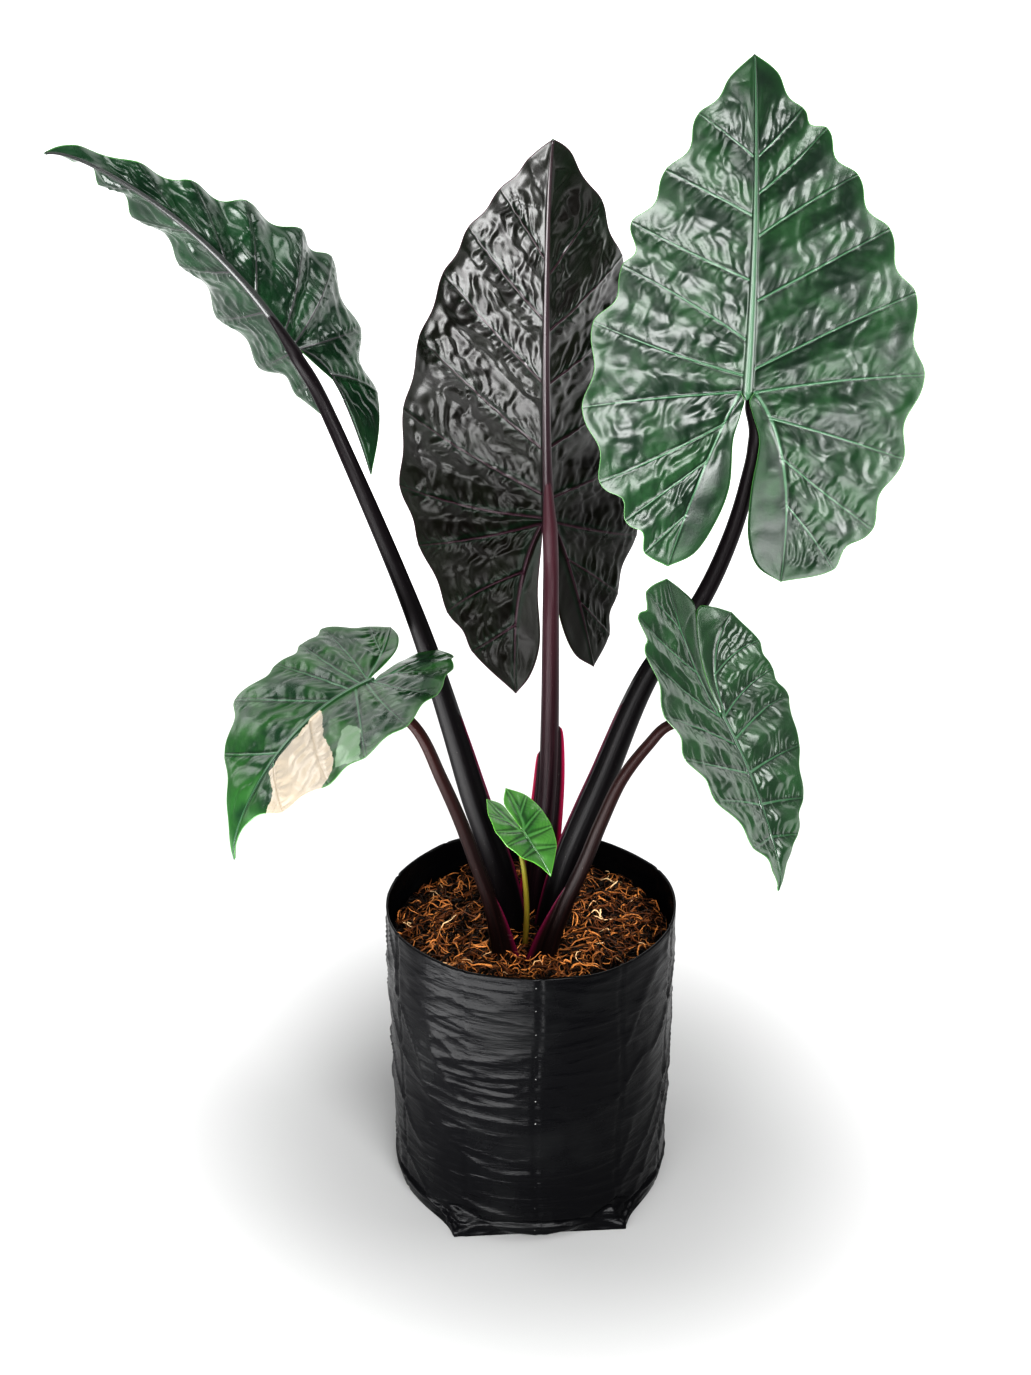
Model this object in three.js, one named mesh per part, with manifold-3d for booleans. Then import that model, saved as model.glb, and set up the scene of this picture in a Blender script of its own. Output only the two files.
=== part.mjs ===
// A potted arrow-leaved aroid in a black polythene grow bag.
// Millimetres, +Z up, the origin at the centre of the bag's base, the viewer on the -Y side.
import * as THREE from 'three';
import { mergeVertices } from 'three/addons/utils/BufferGeometryUtils.js';
import Module from 'manifold-3d';

// Driving dimensions
const GAP = 0.3;                 // clearance between pieces that touch
const DEGREE = Math.PI / 180;

const BAG_RADIUS = 95;           // a 30 cm flat bag, filled, is 19 cm across
const BAG_HEIGHT = 205;
const BAG_WALL = 0.8;            // stands in for the much thinner film
const BAG_FLOOR = 1.2;
const BAG_SIDES = 44;
const BAG_ROWS = 18;
const INSIDE_LEVELS = [10, 16, 22, 40, 90, 150];   // rows shared by the wall's inside and the soil
const BASE_RADIUS = 92;
const BASE_FLAT = 86;            // from the axis to the straight front and back folds
const BASE_TURN = 4;             // degrees that the folded base is turned against the plant
const EAR_ANGLE = 34.5;          // degrees from the middle of a fold to each folded corner
const EAR_LENGTH = 10;
const EAR_SPREAD = 6;            // degrees over which a corner dies away along the wall
const EAR_HEIGHT = 16;
const WRINKLE = 0.42;            // depth of the creases in the film
const WRINKLE_ROOM = 0.7;        // kept free behind the wall for them
const RIM_WAVE = 0.9;
const RIM_DROP = 4;              // from the rim to the first ring below it

const SOIL_SIDE_GAP = 0.6;       // a little more than GAP, as the flat facets of wall and soil differ
const SOIL_LEVEL = 180;
const SOIL_MOUND = 5;
const SOIL_RELIEF = 1.6;
const SOIL_RINGS = 9;

const CORM_CENTRE = new THREE.Vector3(-4, -10, 126);
const CORM_RADII = new THREE.Vector3(27, 38, 30);
const PETIOLE_FOOT = 141;        // height of the buried ends of the petioles
const ROOT_COUNT = 8;
const ROOT_LENGTH = 38;
const ROOT_RADIUS = 3;
const ROOT_TIP = 0.35;           // share of the radius that is left at a root's tip
const ROOT_SAG = 8;

const BLADE = 0.8;               // thickness of a leaf blade
const RIB_CREST = 0.4;           // height of the midrib on the upper face
const RIB_STATIONS = 18;
const RIB_AT_TIP = 0.2;          // share of the midrib's width that is left at the tip
const VEIN_DEPTH = 0.12;         // depth of a side vein behind the blade, as a share of the midrib's
const LOBE_RIB_DEPTH = 0.3;      // the same for the rib of a basal lobe
const SCALLOP_SHARE = 0.14;      // a scallop is no deeper than this share of its distance to the rib
const PETIOLE_SIDES = 12;
const PETIOLE_STEP = 26;         // mm from ring to ring
const FOOT_SPREAD = 0.85;        // how far out from the corm's middle a buried foot stands
const WING = 0.3;                // how far a sheath's wings stand out, as a share of the radius
const WING_ENDS = 0.12;          // share of the petiole over which the wings rise and die away

// Each blade is drawn flat first: across and along its midrib, in mm, with its stalk at 0, 0.
// A vein is [place of its root on the rib, end across, end along]; roots below 0 lie on a lobe's rib.
// Angles are in degrees. The first entry of `veins` only shapes the edge.
const LEAVES = {
  right_high: {
    colour: 0x3f7a4a,
    junction: [128, 20, 543],
    heading: 79, pitch: 73, roll: 7,
    length: 202, droop: 13, hook: 9, sway: -5, twist: -1,
    back: 112, backDroop: 9, backSway: 0,
    reach: 103, fold: [13, 13], lobeFold: [15, 15], curl: [0, 0],
    quilt: 2.4, wave: 3, rib: 7.6, ribDepth: 8, subRows: [0, 0.14, 0.6, 0.86], columns: 4,
    right: {
      scallop: 6,
      veins: [[178, 12, 190], [139, 28, 165], [117, 42, 152], [92, 60, 124], [54, 79, 93], [14, 95, 58],
        [0, 103, 14], [-24, 95, -33], [-53, 81, -72], [-80, 58, -87]],
      lobeTip: [34, -108], lobeBend: [34, -30], sinus: [[7, -23], [6, -58], [8, -88], [17, -102]],
    },
    left: {
      scallop: 6,
      veins: [[180, 13, 189], [139, 35, 163], [104, 55, 128], [67, 75, 96], [46, 80, 70], [28, 96, 36],
        [8, 100, -14], [0, 87, -56], [-35, 70, -78], [-85, 52, -100]],
      lobeTip: [35, -104], lobeBend: [24, -38], sinus: [[6, -20], [7, -56], [16, -84], [26, -96]],
    },
  },
  middle: {
    colour: 0x2e2a24,
    junction: [10, 35, 455],
    heading: -102, pitch: 80, roll: 24,
    length: 262, droop: 17, hook: 14, sway: 0, twist: -1,
    back: 124, backDroop: 16, backSway: 0,
    reach: 101, fold: [28, 28], lobeFold: [38, 38], curl: [17, 17],
    quilt: 2.2, wave: 2, rib: 8, ribDepth: 9, subRows: [0, 0.14, 0.6, 0.86], columns: 4,
    right: {
      scallop: 4,
      veins: [[238, 11, 246], [182, 28, 221], [142, 47, 192], [99, 64, 158], [53, 82, 112], [21, 97, 60],
        [4, 104, 7], [0, 94, -31], [-45, 80, -74], [-84, 64, -98]],
      lobeTip: [32, -122], lobeBend: [26, -44], sinus: [[5, -18], [9, -50], [11, -88], [20, -109]],
    },
    left: {
      scallop: 4,
      veins: [[238, 12, 248], [171, 42, 202], [133, 64, 156], [97, 80, 113], [53, 94, 62], [17, 101, 8],
        [0, 92, -44], [-40, 72, -76], [-76, 62, -100]],
      lobeTip: [40, -114], lobeBend: [20, -40], sinus: [[5, -20], [6, -52], [8, -74], [20, -99]],
    },
  },
  left_high: {
    colour: 0x33573c,
    junction: [-138, 0, 573],
    heading: 205, pitch: 61, roll: 68,
    length: 200, droop: 30, hook: 32, sway: 26, twist: 0,
    back: 95, backDroop: 15, backSway: -8,
    reach: 75, fold: [37, 42], lobeFold: [52, 60], curl: [26, 38],
    quilt: 2.2, wave: 5, rib: 7, ribDepth: 8, subRows: [0, 0.14, 0.6, 0.86], columns: 4,
    right: {
      scallop: 5,
      veins: [[176, 8, 171], [138, 22, 151], [98, 33, 116], [62, 43, 69], [30, 55, 25], [0, 45, -10],
        [-26, 25, -30]],
      lobeTip: [7, -56], lobeBend: [10, -24], sinus: [[1, -16], [1, -30], [3, -45]],
    },
    left: {
      scallop: 4,
      veins: [[182, 6, 180], [110, 14, 142], [71, 24, 109], [43, 40, 75], [14, 62, 38], [4, 74, 14],
        [0, 61, -24], [-34, 46, -58]],
      lobeTip: [-5, -87], lobeBend: [26, -30], sinus: [[9, -18], [15, -42], [14, -62], [5, -77]],
    },
  },
  left_low: {
    colour: 0x3a6b40,
    junction: [-95, -72, 396],
    heading: 218, pitch: -5, roll: 4,
    length: 139, droop: 63, hook: 21, sway: -5, twist: -5,
    back: 62, backDroop: 9, backSway: 15,
    reach: 74, fold: [5, 5], lobeFold: [8, 8], curl: [0, 0],
    quilt: 1.8, wave: 1.5, rib: 5, ribDepth: 3, subRows: [0, 0.2, 0.7], columns: 4,
    right: {
      scallop: 6,
      veins: [[118, 9, 119], [72, 36, 87], [28, 59, 57], [14, 61, 26], [6, 69, 4], [0, 76, -24],
        [-38, 56, -52]],
      lobeTip: [47, -64], lobeBend: [24, -26], sinus: [[12, -22], [24, -43], [36, -57]],
    },
    left: {
      scallop: 2,
      veins: [[118, 6, 116], [78, 33, 100], [46, 57, 75], [12, 68, 52], [4, 73, 24], [0, 57, -7],
        [-16, 32, -35], [-38, 13, -53]],
      lobeTip: [-9, -64], lobeBend: [2, -30], sinus: [[-6, -16], [-12, -36], [-16, -54]],
    },
  },
  right_low: {
    colour: 0x2f5e38,
    junction: [113, -60, 367],
    heading: -55, pitch: -42, roll: -20,
    length: 110, droop: 20, hook: 32, sway: -3, twist: -4,
    back: 90, backDroop: -20, backSway: -30,
    reach: 68, fold: [6, 6], lobeFold: [10, 10], curl: [0, 0],
    quilt: 1.8, wave: 1.5, rib: 5, ribDepth: 3, subRows: [0, 0.2, 0.7], columns: 4,
    right: {
      scallop: 5,
      veins: [[96, 9, 98], [77, 28, 80], [57, 54, 50], [37, 68, 24], [18, 66, -2], [0, 63, -32],
        [-30, 65, -48], [-56, 55, -63]],
      lobeTip: [34, -77], lobeBend: [8, -40], sinus: [[0.5, -20], [0.5, -50], [2, -73], [17, -77]],
    },
    left: {
      scallop: 5,
      veins: [[96, 8, 95], [77, 27, 80], [57, 43, 60], [37, 58, 28], [15, 69, -8], [0, 61, -38],
        [-32, 51, -64]],
      lobeTip: [28, -80], lobeBend: [8, -36], sinus: [[0.5, -20], [0.5, -50], [2, -74], [13, -78]],
    },
  },
  small: {
    colour: 0x5c9a45,
    junction: [-6, -40, 279],
    heading: -43, pitch: -38, roll: -1,
    length: 34, droop: 10, hook: 6, sway: 1, twist: -1,
    back: 31, backDroop: 4, backSway: 0,
    reach: 22, fold: [9, 9], lobeFold: [11, 11], curl: [0, 0],
    quilt: 0.6, wave: 0.3, rib: 2.2, ribDepth: 1.4, subRows: [0, 0.5], columns: 3,
    right: {
      scallop: 0.4,
      veins: [[27, 5, 25], [14, 15, 16], [5, 21, 5], [0, 22, -6], [-12, 18, -18]],
      lobeTip: [10, -28], lobeBend: [7, -9], sinus: [[1.6, -8], [2, -20]],
    },
    left: {
      scallop: 0.4,
      veins: [[27, 7, 27], [14, 15, 19], [5, 20, 7], [0, 21, -6], [-12, 18, -18]],
      lobeTip: [9, -29], lobeBend: [7, -9], sinus: [[1.6, -8], [2, -20]],
    },
  },
};

// Centre lines of the petioles from the soil upward; the last stretch is worked out from the leaf.
// `radii` are at the soil, a third, two thirds and all of the way up.
// `sheath` is how far up, as a share, the two wings of the base run, and `facing` is their side.
// `approach` is the angle at which a petiole meets its blade from behind: 0 runs on into the midrib.
const PETIOLES = {
  right_high: {
    colour: 0x141013,
    points: [[13, -2, 184], [23, -1, 232], [45, 1, 293], [73, 5, 365], [104, 8, 413], [121, 12, 453],
      [130, 15, 487], [133.5, 17, 514]],
    radii: [9.5, 9.5, 5.8, 4.2], sheath: 0.42, facing: 200, settle: 10, approach: 0,
  },
  middle: {
    colour: 0x2b1a22,
    points: [[3, 17, 184], [7, 20, 231], [11, 24, 281], [12, 26, 333], [12, 28, 399]],
    radii: [8, 6.2, 5.2, 4.2], sheath: 0.45, facing: 300, settle: 24, approach: 0,
  },
  left_high: {
    colour: 0x151012,
    points: [[-13, -2, 184], [-22, -4, 234], [-36, -6, 282], [-50, -8, 336], [-66, -9, 393], [-80, -9, 435],
      [-105, -8, 501]],
    radii: [9.5, 8.6, 5.4, 3.8], sheath: 0.4, facing: 340, settle: 22, approach: 0,
  },
  left_low: {
    colour: 0x2c1716,
    points: [[-20, -36, 184], [-26, -40, 225], [-35, -46, 259], [-44, -53, 292], [-55, -61, 326],
      [-69, -68, 363]],
    radii: [6.2, 4.8, 4, 3], sheath: 0.3, facing: 20, settle: 7, approach: 60,
  },
  right_low: {
    colour: 0x2a1615,
    points: [[10, -38, 184], [21, -40, 224], [33, -43, 257], [43, -46, 288], [55, -48, 319], [70, -50, 343],
      [82, -53, 358]],
    radii: [6.8, 5, 4, 2.8], sheath: 0.35, facing: 160, settle: 8, approach: 60,
  },
  small: {
    colour: 0x7c7430,
    points: [[-4, -28, 184], [-3, -33, 218], [-5, -38, 250]],
    radii: [2.4, 2, 1.8, 1.4], sheath: 0.2, facing: 0, settle: 4, approach: 90,
  },
};

const wasm = await Module();
wasm.setup();

const clamp = (value) => Math.min(1, Math.max(0, value));
const smooth = (value) => clamp(value) ** 2 * (3 - 2 * clamp(value));
const mix = (a, b, share) => a + (b - a) * share;
const vector = (list) => new THREE.Vector3(...list);

// Repeatable random numbers
function randomFrom(seed) {
  let state = seed;
  return () => {
    state = (state * 1664525 + 1013904223) % 4294967296;
    return state / 4294967296;
  };
}

function meshGeometry(points, triangles) {
  const geometry = new THREE.BufferGeometry();
  const numbers = points.flatMap((p) => p.toArray());
  geometry.setAttribute('position', new THREE.Float32BufferAttribute(numbers, 3));
  geometry.setIndex(triangles.flat());
  geometry.computeVertexNormals();
  return geometry;
}

function named(name, geometry, colour, roughness) {
  const material = new THREE.MeshStandardMaterial({ color: colour, roughness, metalness: 0 });
  const mesh = new THREE.Mesh(geometry, material);
  mesh.name = name;
  return mesh;
}

// A closed tube through rings of points, all with the same count, each end closed by a flat fan
function loft(rings) {
  const sides = rings[0].length;
  const points = rings.flat();
  const triangles = [];
  for (let row = 0; row < rings.length - 1; row += 1) {
    for (let side = 0; side < sides; side += 1) {
      const next = (side + 1) % sides;
      const a = row * sides + side;
      const b = row * sides + next;
      triangles.push([a, b, b + sides], [a, b + sides, a + sides]);
    }
  }
  const close = (row, outward) => {
    const centre = new THREE.Vector3();
    rings[row].forEach((p) => centre.addScaledVector(p, 1 / sides));
    const index = points.push(centre) - 1;
    for (let side = 0; side < sides; side += 1) {
      const a = row * sides + side;
      const b = row * sides + ((side + 1) % sides);
      triangles.push(outward ? [index, a, b] : [index, b, a]);
    }
  };
  close(0, false);
  close(rings.length - 1, true);
  return { points, triangles };
}

// A three.js solid as one that can be joined and cut
function solidOf(geometry) {
  geometry.deleteAttribute('normal');
  geometry.deleteAttribute('uv');
  const merged = mergeVertices(geometry);
  const mesh = new wasm.Mesh({
    numProp: 3,
    vertProperties: merged.attributes.position.array,
    triVerts: Uint32Array.from(merged.index.array),
  });
  return new wasm.Manifold(mesh);
}

function toManifold({ points, triangles }) {
  const mesh = new wasm.Mesh({
    numProp: 3,
    vertProperties: new Float32Array(points.flatMap((p) => p.toArray())),
    triVerts: new Uint32Array(triangles.flat()),
  });
  return new wasm.Manifold(mesh);
}

function fromManifold(solid) {
  const mesh = solid.getMesh();
  const points = [];
  for (let i = 0; i < mesh.vertProperties.length; i += mesh.numProp) {
    points.push(new THREE.Vector3(...mesh.vertProperties.slice(i, i + 3)));
  }
  const triangles = [];
  for (let i = 0; i < mesh.triVerts.length; i += 3) {
    triangles.push([...mesh.triVerts.slice(i, i + 3)]);
  }
  return meshGeometry(points, triangles);
}

// Leaf blades

// Frames down the midrib: the tangent, the upper face's normal and the direction across to the right
const SPINE_STEPS = 60;
const HOOK_START = 0.8;

function startFrame(leaf) {
  const heading = leaf.heading * DEGREE;
  const pitch = leaf.pitch * DEGREE;
  const along = new THREE.Vector3(
    Math.cos(pitch) * Math.cos(heading), Math.cos(pitch) * Math.sin(heading), Math.sin(pitch));
  const up = new THREE.Vector3(
    -Math.sin(pitch) * Math.cos(heading), -Math.sin(pitch) * Math.sin(heading), Math.cos(pitch));
  up.applyAxisAngle(along, leaf.roll * DEGREE);
  return { along, up, across: new THREE.Vector3().crossVectors(along, up) };
}

function walkSpine(leaf, forward) {
  const frame = startFrame(leaf);
  const centre = vector(leaf.junction);
  const step = (forward ? leaf.length : -leaf.back) / SPINE_STEPS;
  const frames = [{ centre: centre.clone(), ...frame }];
  for (let i = 0; i < SPINE_STEPS; i += 1) {
    const share = (i + 0.5) / SPINE_STEPS;
    const hook = 2 * Math.max(0, share - HOOK_START) / (1 - HOOK_START) ** 2;
    const droop = forward ? leaf.droop + leaf.hook * hook : -leaf.backDroop;
    const sway = forward ? leaf.sway : -leaf.backSway;
    const twist = forward ? leaf.twist : 0;
    const last = frames[frames.length - 1];
    const along = last.along.clone();
    const up = last.up.clone();
    along.applyAxisAngle(last.across, -droop * DEGREE / SPINE_STEPS);
    up.applyAxisAngle(last.across, -droop * DEGREE / SPINE_STEPS);
    along.applyAxisAngle(up, -sway * DEGREE / SPINE_STEPS);
    up.applyAxisAngle(along, twist * DEGREE / SPINE_STEPS);
    const across = new THREE.Vector3().crossVectors(along, up);
    centre.addScaledVector(along, step);
    frames.push({ centre: centre.clone(), along, up, across });
  }
  return frames;
}

function spineOf(leaf) {
  const ahead = walkSpine(leaf, true);
  const behind = walkSpine(leaf, false);
  return (v) => {
    const frames = v >= 0 ? ahead : behind;
    const place = Math.abs(v) / (v >= 0 ? leaf.length : leaf.back) * SPINE_STEPS;
    const low = Math.min(SPINE_STEPS - 1, Math.floor(place));
    const share = place - low;
    const [a, b] = [frames[low], frames[low + 1]];
    return {
      centre: a.centre.clone().lerp(b.centre, share),
      along: a.along.clone().lerp(b.along, share).normalize(),
      up: a.up.clone().lerp(b.up, share).normalize(),
      across: a.across.clone().lerp(b.across, share).normalize(),
    };
  };
}

// Puts a flat point of the blade in space: each half is folded up at the midrib and may curl further
function placeOn(leaf, spine, side, u, v) {
  const half = side > 0 ? 0 : 1;
  const { centre, up, across } = spine(v);
  const fold = mix(leaf.fold[half], leaf.lobeFold[half], smooth(-v / leaf.back)) * DEGREE;
  const curl = leaf.curl[half] * DEGREE / leaf.reach;
  let sideways = u * Math.cos(fold);
  let rise = u * Math.sin(fold);
  if (curl > 0) {
    sideways = (Math.sin(fold + curl * u) - Math.sin(fold)) / curl;
    rise = (Math.cos(fold) - Math.cos(fold + curl * u)) / curl;
  }
  return centre.addScaledVector(across, side * sideways).addScaledVector(up, rise);
}

const ribHalf = (leaf, v) => leaf.rib / 2 * mix(RIB_AT_TIP, 1, clamp(1 - v / leaf.length));

// The midrib is thin at the tip, half as deep as the stalk before it, and swells to it at the junction
function ribDepth(leaf, v) {
  const swelling = 0.5 * Math.exp(-v / (0.09 * leaf.length));
  return leaf.ribDepth * (mix(0.12, 0.5, clamp(1 - v / leaf.length)) + swelling);
}

// A smooth line through flat points; its parameter counts the points
function smoothLine(list) {
  const points = list.map(([u, v]) => new THREE.Vector3(u, v, 0));
  const curve = new THREE.CatmullRomCurve3(points, false, 'centripetal');
  return (place) => {
    const p = curve.getPoint(clamp(place / (list.length - 1)));
    return [p.x, p.y];
  };
}

// The rows of one half, from the tip to the end of its basal lobe.
// A row joins a point of the rib to a point of the edge and knows its share of the way between two veins.
function rowsOf(leaf, half) {
  const { scallop, veins, lobeTip, lobeBend, sinus } = half;
  const edge = smoothLine([[0, leaf.length], ...veins.map(([, u, v]) => [u, v]), lobeTip]);
  const start = ribHalf(leaf, 0);
  const lobeRib = new THREE.QuadraticBezierCurve(
    new THREE.Vector2(start, 0), new THREE.Vector2(...lobeBend), new THREE.Vector2(...lobeTip));
  const lobeLength = lobeRib.getLength();
  const inner = smoothLine([[start, 0], ...sinus, lobeTip]);
  const roots = [leaf.length, ...veins.map(([root]) => root), -lobeLength];
  const rows = [];
  for (let k = 0; k < roots.length - 1; k += 1) {
    const scalloped = k > 0 && k < roots.length - 2;
    leaf.subRows.forEach((share) => {
      if (k === 0 && share === 0) {
        return;
      }
      const root = mix(roots[k], roots[k + 1], share);
      let [u, v] = edge(k + share);
      if (scalloped) {
        const from = Math.max(root, 0);
        const dip = Math.min(scallop, SCALLOP_SHARE * u) * Math.sin(Math.PI * share ** 1.25) ** 2;
        const shift = 1 - dip / Math.hypot(u, v - from);
        u *= shift;
        v = mix(from, v, shift);
      }
      const lobeShare = clamp(-root / lobeLength);
      const foot = root > 0 ? [ribHalf(leaf, root), root] : lobeRib.getPoint(lobeShare).toArray();
      const bulge = scalloped ? Math.sin(Math.PI * share) ** 2 : 0;
      const isVein = share === 0 && k > 1;
      const innerEdge = root < 0 ? inner(lobeShare * (sinus.length + 1)) : null;
      rows.push({ root, foot, end: [u, v], bulge, isVein, innerEdge, lobeShare });
    });
  }
  return rows;
}

// Builds a blade as one closed solid, with its ribs and veins raised and its panels swollen between them
function bladeGeometry(leaf) {
  const spine = spineOf(leaf);
  const points = [];
  const front = [];
  const behind = [];
  const triangles = [];
  const add = (side, u, v, lift, above, below) => {
    const p = placeOn(leaf, spine, side, u, v);
    front.push(lift + BLADE / 2 + above);
    behind.push(lift - BLADE / 2 - below);
    return points.push(p) - 1;
  };
  const triangle = (side, a, b, c) => triangles.push(side > 0 ? [a, b, c] : [a, c, b]);
  const quad = (side, a, b, c, d) => {
    triangle(side, a, b, c);
    triangle(side, a, c, d);
  };

  const tip = add(1, 0, leaf.length, 0, 0, 0);
  const flanks = {};
  for (const [side, half] of [[1, leaf.right], [-1, leaf.left]]) {
    const rows = rowsOf(leaf, half);
    const lobe = add(side, ...half.lobeTip, 0, 0, 0);
    let previous = null;
    let previousInner = null;
    flanks[side] = [];
    rows.forEach((row) => {
      const { root, foot, end, bulge, isVein, innerEdge, lobeShare } = row;
      const veinDepth = isVein ? VEIN_DEPTH * leaf.ribDepth : 0;
      const ribRise = root < 0 ? LOBE_RIB_DEPTH * leaf.ribDepth * (1 - lobeShare) : 0;
      const line = [];
      for (let column = 0; column <= leaf.columns; column += 1) {
        const w = (column / leaf.columns) ** 1.2;
        const lift = bulge * (leaf.quilt * Math.sin(Math.PI * w ** 0.8) + leaf.wave * w * w);
        const ridge = column === 0 ? ribRise : veinDepth * (1 - 0.8 * w);
        line.push(add(side, mix(foot[0], end[0], w), mix(foot[1], end[1], w), lift, 0, ridge));
      }
      if (root >= 0) {
        flanks[side].push({ index: line[0], v: root });
      }
      if (previous) {
        for (let column = 0; column < leaf.columns; column += 1) {
          quad(side, previous[column + 1], previous[column], line[column], line[column + 1]);
        }
      } else {
        for (let column = 0; column < leaf.columns; column += 1) {
          triangle(side, tip, line[column], line[column + 1]);
        }
      }
      if (root === 0) {
        previousInner = [line[0], line[0], line[0]];
      }
      if (innerEdge) {
        const middle = [mix(foot[0], innerEdge[0], 0.5), mix(foot[1], innerEdge[1], 0.5)];
        const innerLine = [line[0], add(side, ...middle, 0.3 * leaf.quilt * bulge, 0, 0),
          add(side, ...innerEdge, 0, 0, 0)];
        for (let column = 0; column < 2; column += 1) {
          const [a, b] = [previousInner[column], previousInner[column + 1]];
          quad(side, a, b, innerLine[column + 1], innerLine[column]);
        }
        previousInner = innerLine;
      }
      previous = line;
    });
    for (let column = 0; column < leaf.columns; column += 1) {
      triangle(side, previous[column + 1], previous[column], lobe);
    }
    for (let column = 0; column < 2; column += 1) {
      triangle(side, previousInner[column], previousInner[column + 1], lobe);
    }
  }

  // The midrib: a crest with a shoulder on either side, joined to the flanks of both halves
  const crest = [];
  const shoulders = { 1: [], [-1]: [] };
  for (let i = 1; i <= RIB_STATIONS; i += 1) {
    const v = leaf.length * (1 - i / RIB_STATIONS) ** 1.15;
    crest.push({ index: add(1, 0, v, 0, RIB_CREST, ribDepth(leaf, v)), v });
    for (const side of [1, -1]) {
      const index = add(side, 0.6 * ribHalf(leaf, v), v, 0, 0.7 * RIB_CREST, 0.75 * ribDepth(leaf, v));
      shoulders[side].push({ index, v });
    }
  }
  for (const side of [1, -1]) {
    triangle(side, tip, crest[0].index, shoulders[side][0].index);
    triangle(side, tip, shoulders[side][0].index, flanks[side][0].index);
    for (let i = 0; i < RIB_STATIONS - 1; i += 1) {
      const [a, b] = [shoulders[side][i], shoulders[side][i + 1]];
      quad(side, crest[i].index, crest[i + 1].index, b.index, a.index);
    }
    const near = shoulders[side];
    const far = flanks[side];
    let i = 0;
    let j = 0;
    while (i < near.length - 1 || j < far.length - 1) {
      const stepNear = j === far.length - 1 || (i < near.length - 1 && near[i + 1].v > far[j + 1].v);
      if (stepNear) {
        triangle(side, near[i].index, near[i + 1].index, far[j].index);
        i += 1;
      } else {
        triangle(side, near[i].index, far[j + 1].index, far[j].index);
        j += 1;
      }
    }
  }
  return thicken(points, front, behind, triangles);
}

// Gives a sheet its thickness along its own normals and closes its edge, so that both faces match
function thicken(points, front, behind, triangles) {
  const whole = triangles.filter(([a, b, c]) => a !== b && b !== c && c !== a);
  const normals = points.map(() => new THREE.Vector3());
  const edges = new Map();
  whole.forEach(([a, b, c]) => {
    const normal = new THREE.Vector3().subVectors(points[b], points[a]);
    normal.cross(new THREE.Vector3().subVectors(points[c], points[a]));
    [a, b, c].forEach((i) => normals[i].add(normal));
    [[a, b], [b, c], [c, a]].forEach(([i, j]) => edges.set(`${i},${j}`, [i, j]));
  });
  normals.forEach((normal) => normal.normalize());
  const shifted = (offsets) => points.map((p, i) => p.clone().addScaledVector(normals[i], offsets[i]));
  const solidPoints = [...shifted(front), ...shifted(behind)];
  const count = points.length;
  const faces = whole.flatMap(([a, b, c]) => [[a, b, c], [a + count, c + count, b + count]]);
  edges.forEach(([i, j]) => {
    if (!edges.has(`${j},${i}`)) {
      faces.push([j, i, i + count], [j, i + count, j + count]);
    }
  });
  return meshGeometry(solidPoints, faces);
}

// Petioles

// The line of a petiole, from its buried foot to the small gap under its leaf
function petioleLine(name) {
  const { points, radii, settle, approach } = PETIOLES[name];
  const leaf = LEAVES[name];
  const { along, up } = startFrame(leaf);
  const [level, steep] = [Math.cos(approach * DEGREE), Math.sin(approach * DEGREE)];
  const way = along.clone().multiplyScalar(level).addScaledVector(up, steep);
  const depth = BLADE / 2 + GAP + (approach === 0 ? radii[3] : leaf.ribDepth);
  const foot = CORM_CENTRE.clone().lerp(vector(points[0]), FOOT_SPREAD).setZ(PETIOLE_FOOT);
  const end = vector(leaf.junction).addScaledVector(up, -depth).addScaledVector(along, -GAP * level);
  const beforeEnd = end.clone().addScaledVector(way, -settle);
  return new THREE.CatmullRomCurve3([foot, ...points.map(vector), beforeEnd, end], false, 'centripetal');
}

function petioleRadius(radii, share) {
  const place = clamp(share) * (radii.length - 1);
  const low = Math.min(radii.length - 2, Math.floor(place));
  return mix(radii[low], radii[low + 1], place - low);
}

// Rings along the line, rounder above and with two wings on one side at the base
function petioleSolid(name, extra = 0) {
  const { radii, sheath, facing } = PETIOLES[name];
  const line = petioleLine(name);
  const rows = Math.max(8, Math.round(line.getLength() / PETIOLE_STEP));
  const facingWay = new THREE.Vector3(Math.cos(facing * DEGREE), Math.sin(facing * DEGREE), 0);
  const rings = [];
  for (let row = 0; row <= rows; row += 1) {
    const share = row / rows;
    const tangent = line.getTangentAt(share);
    const centre = line.getPointAt(share).addScaledVector(tangent, row === 0 ? -extra : 0);
    const x = facingWay.clone().addScaledVector(tangent, -facingWay.dot(tangent)).normalize();
    const y = new THREE.Vector3().crossVectors(tangent, x);
    const wing = WING * smooth(share / WING_ENDS) * smooth((sheath - share) / WING_ENDS);
    const ring = [];
    for (let side = 0; side < PETIOLE_SIDES; side += 1) {
      const angle = side / PETIOLE_SIDES * 2 * Math.PI;
      const facingShare = Math.max(0, Math.cos(angle));
      const groove = 1.4 * facingShare ** 12;
      const r = petioleRadius(radii, share) * (1 + wing * facingShare ** 2 * (1 - groove)) + extra;
      const [dx, dy] = [r * Math.cos(angle), r * Math.sin(angle)];
      ring.push(centre.clone().addScaledVector(x, dx).addScaledVector(y, dy));
    }
    rings.push(ring);
  }
  return toManifold(loft(rings));
}

// Corm with its crown of roots

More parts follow.
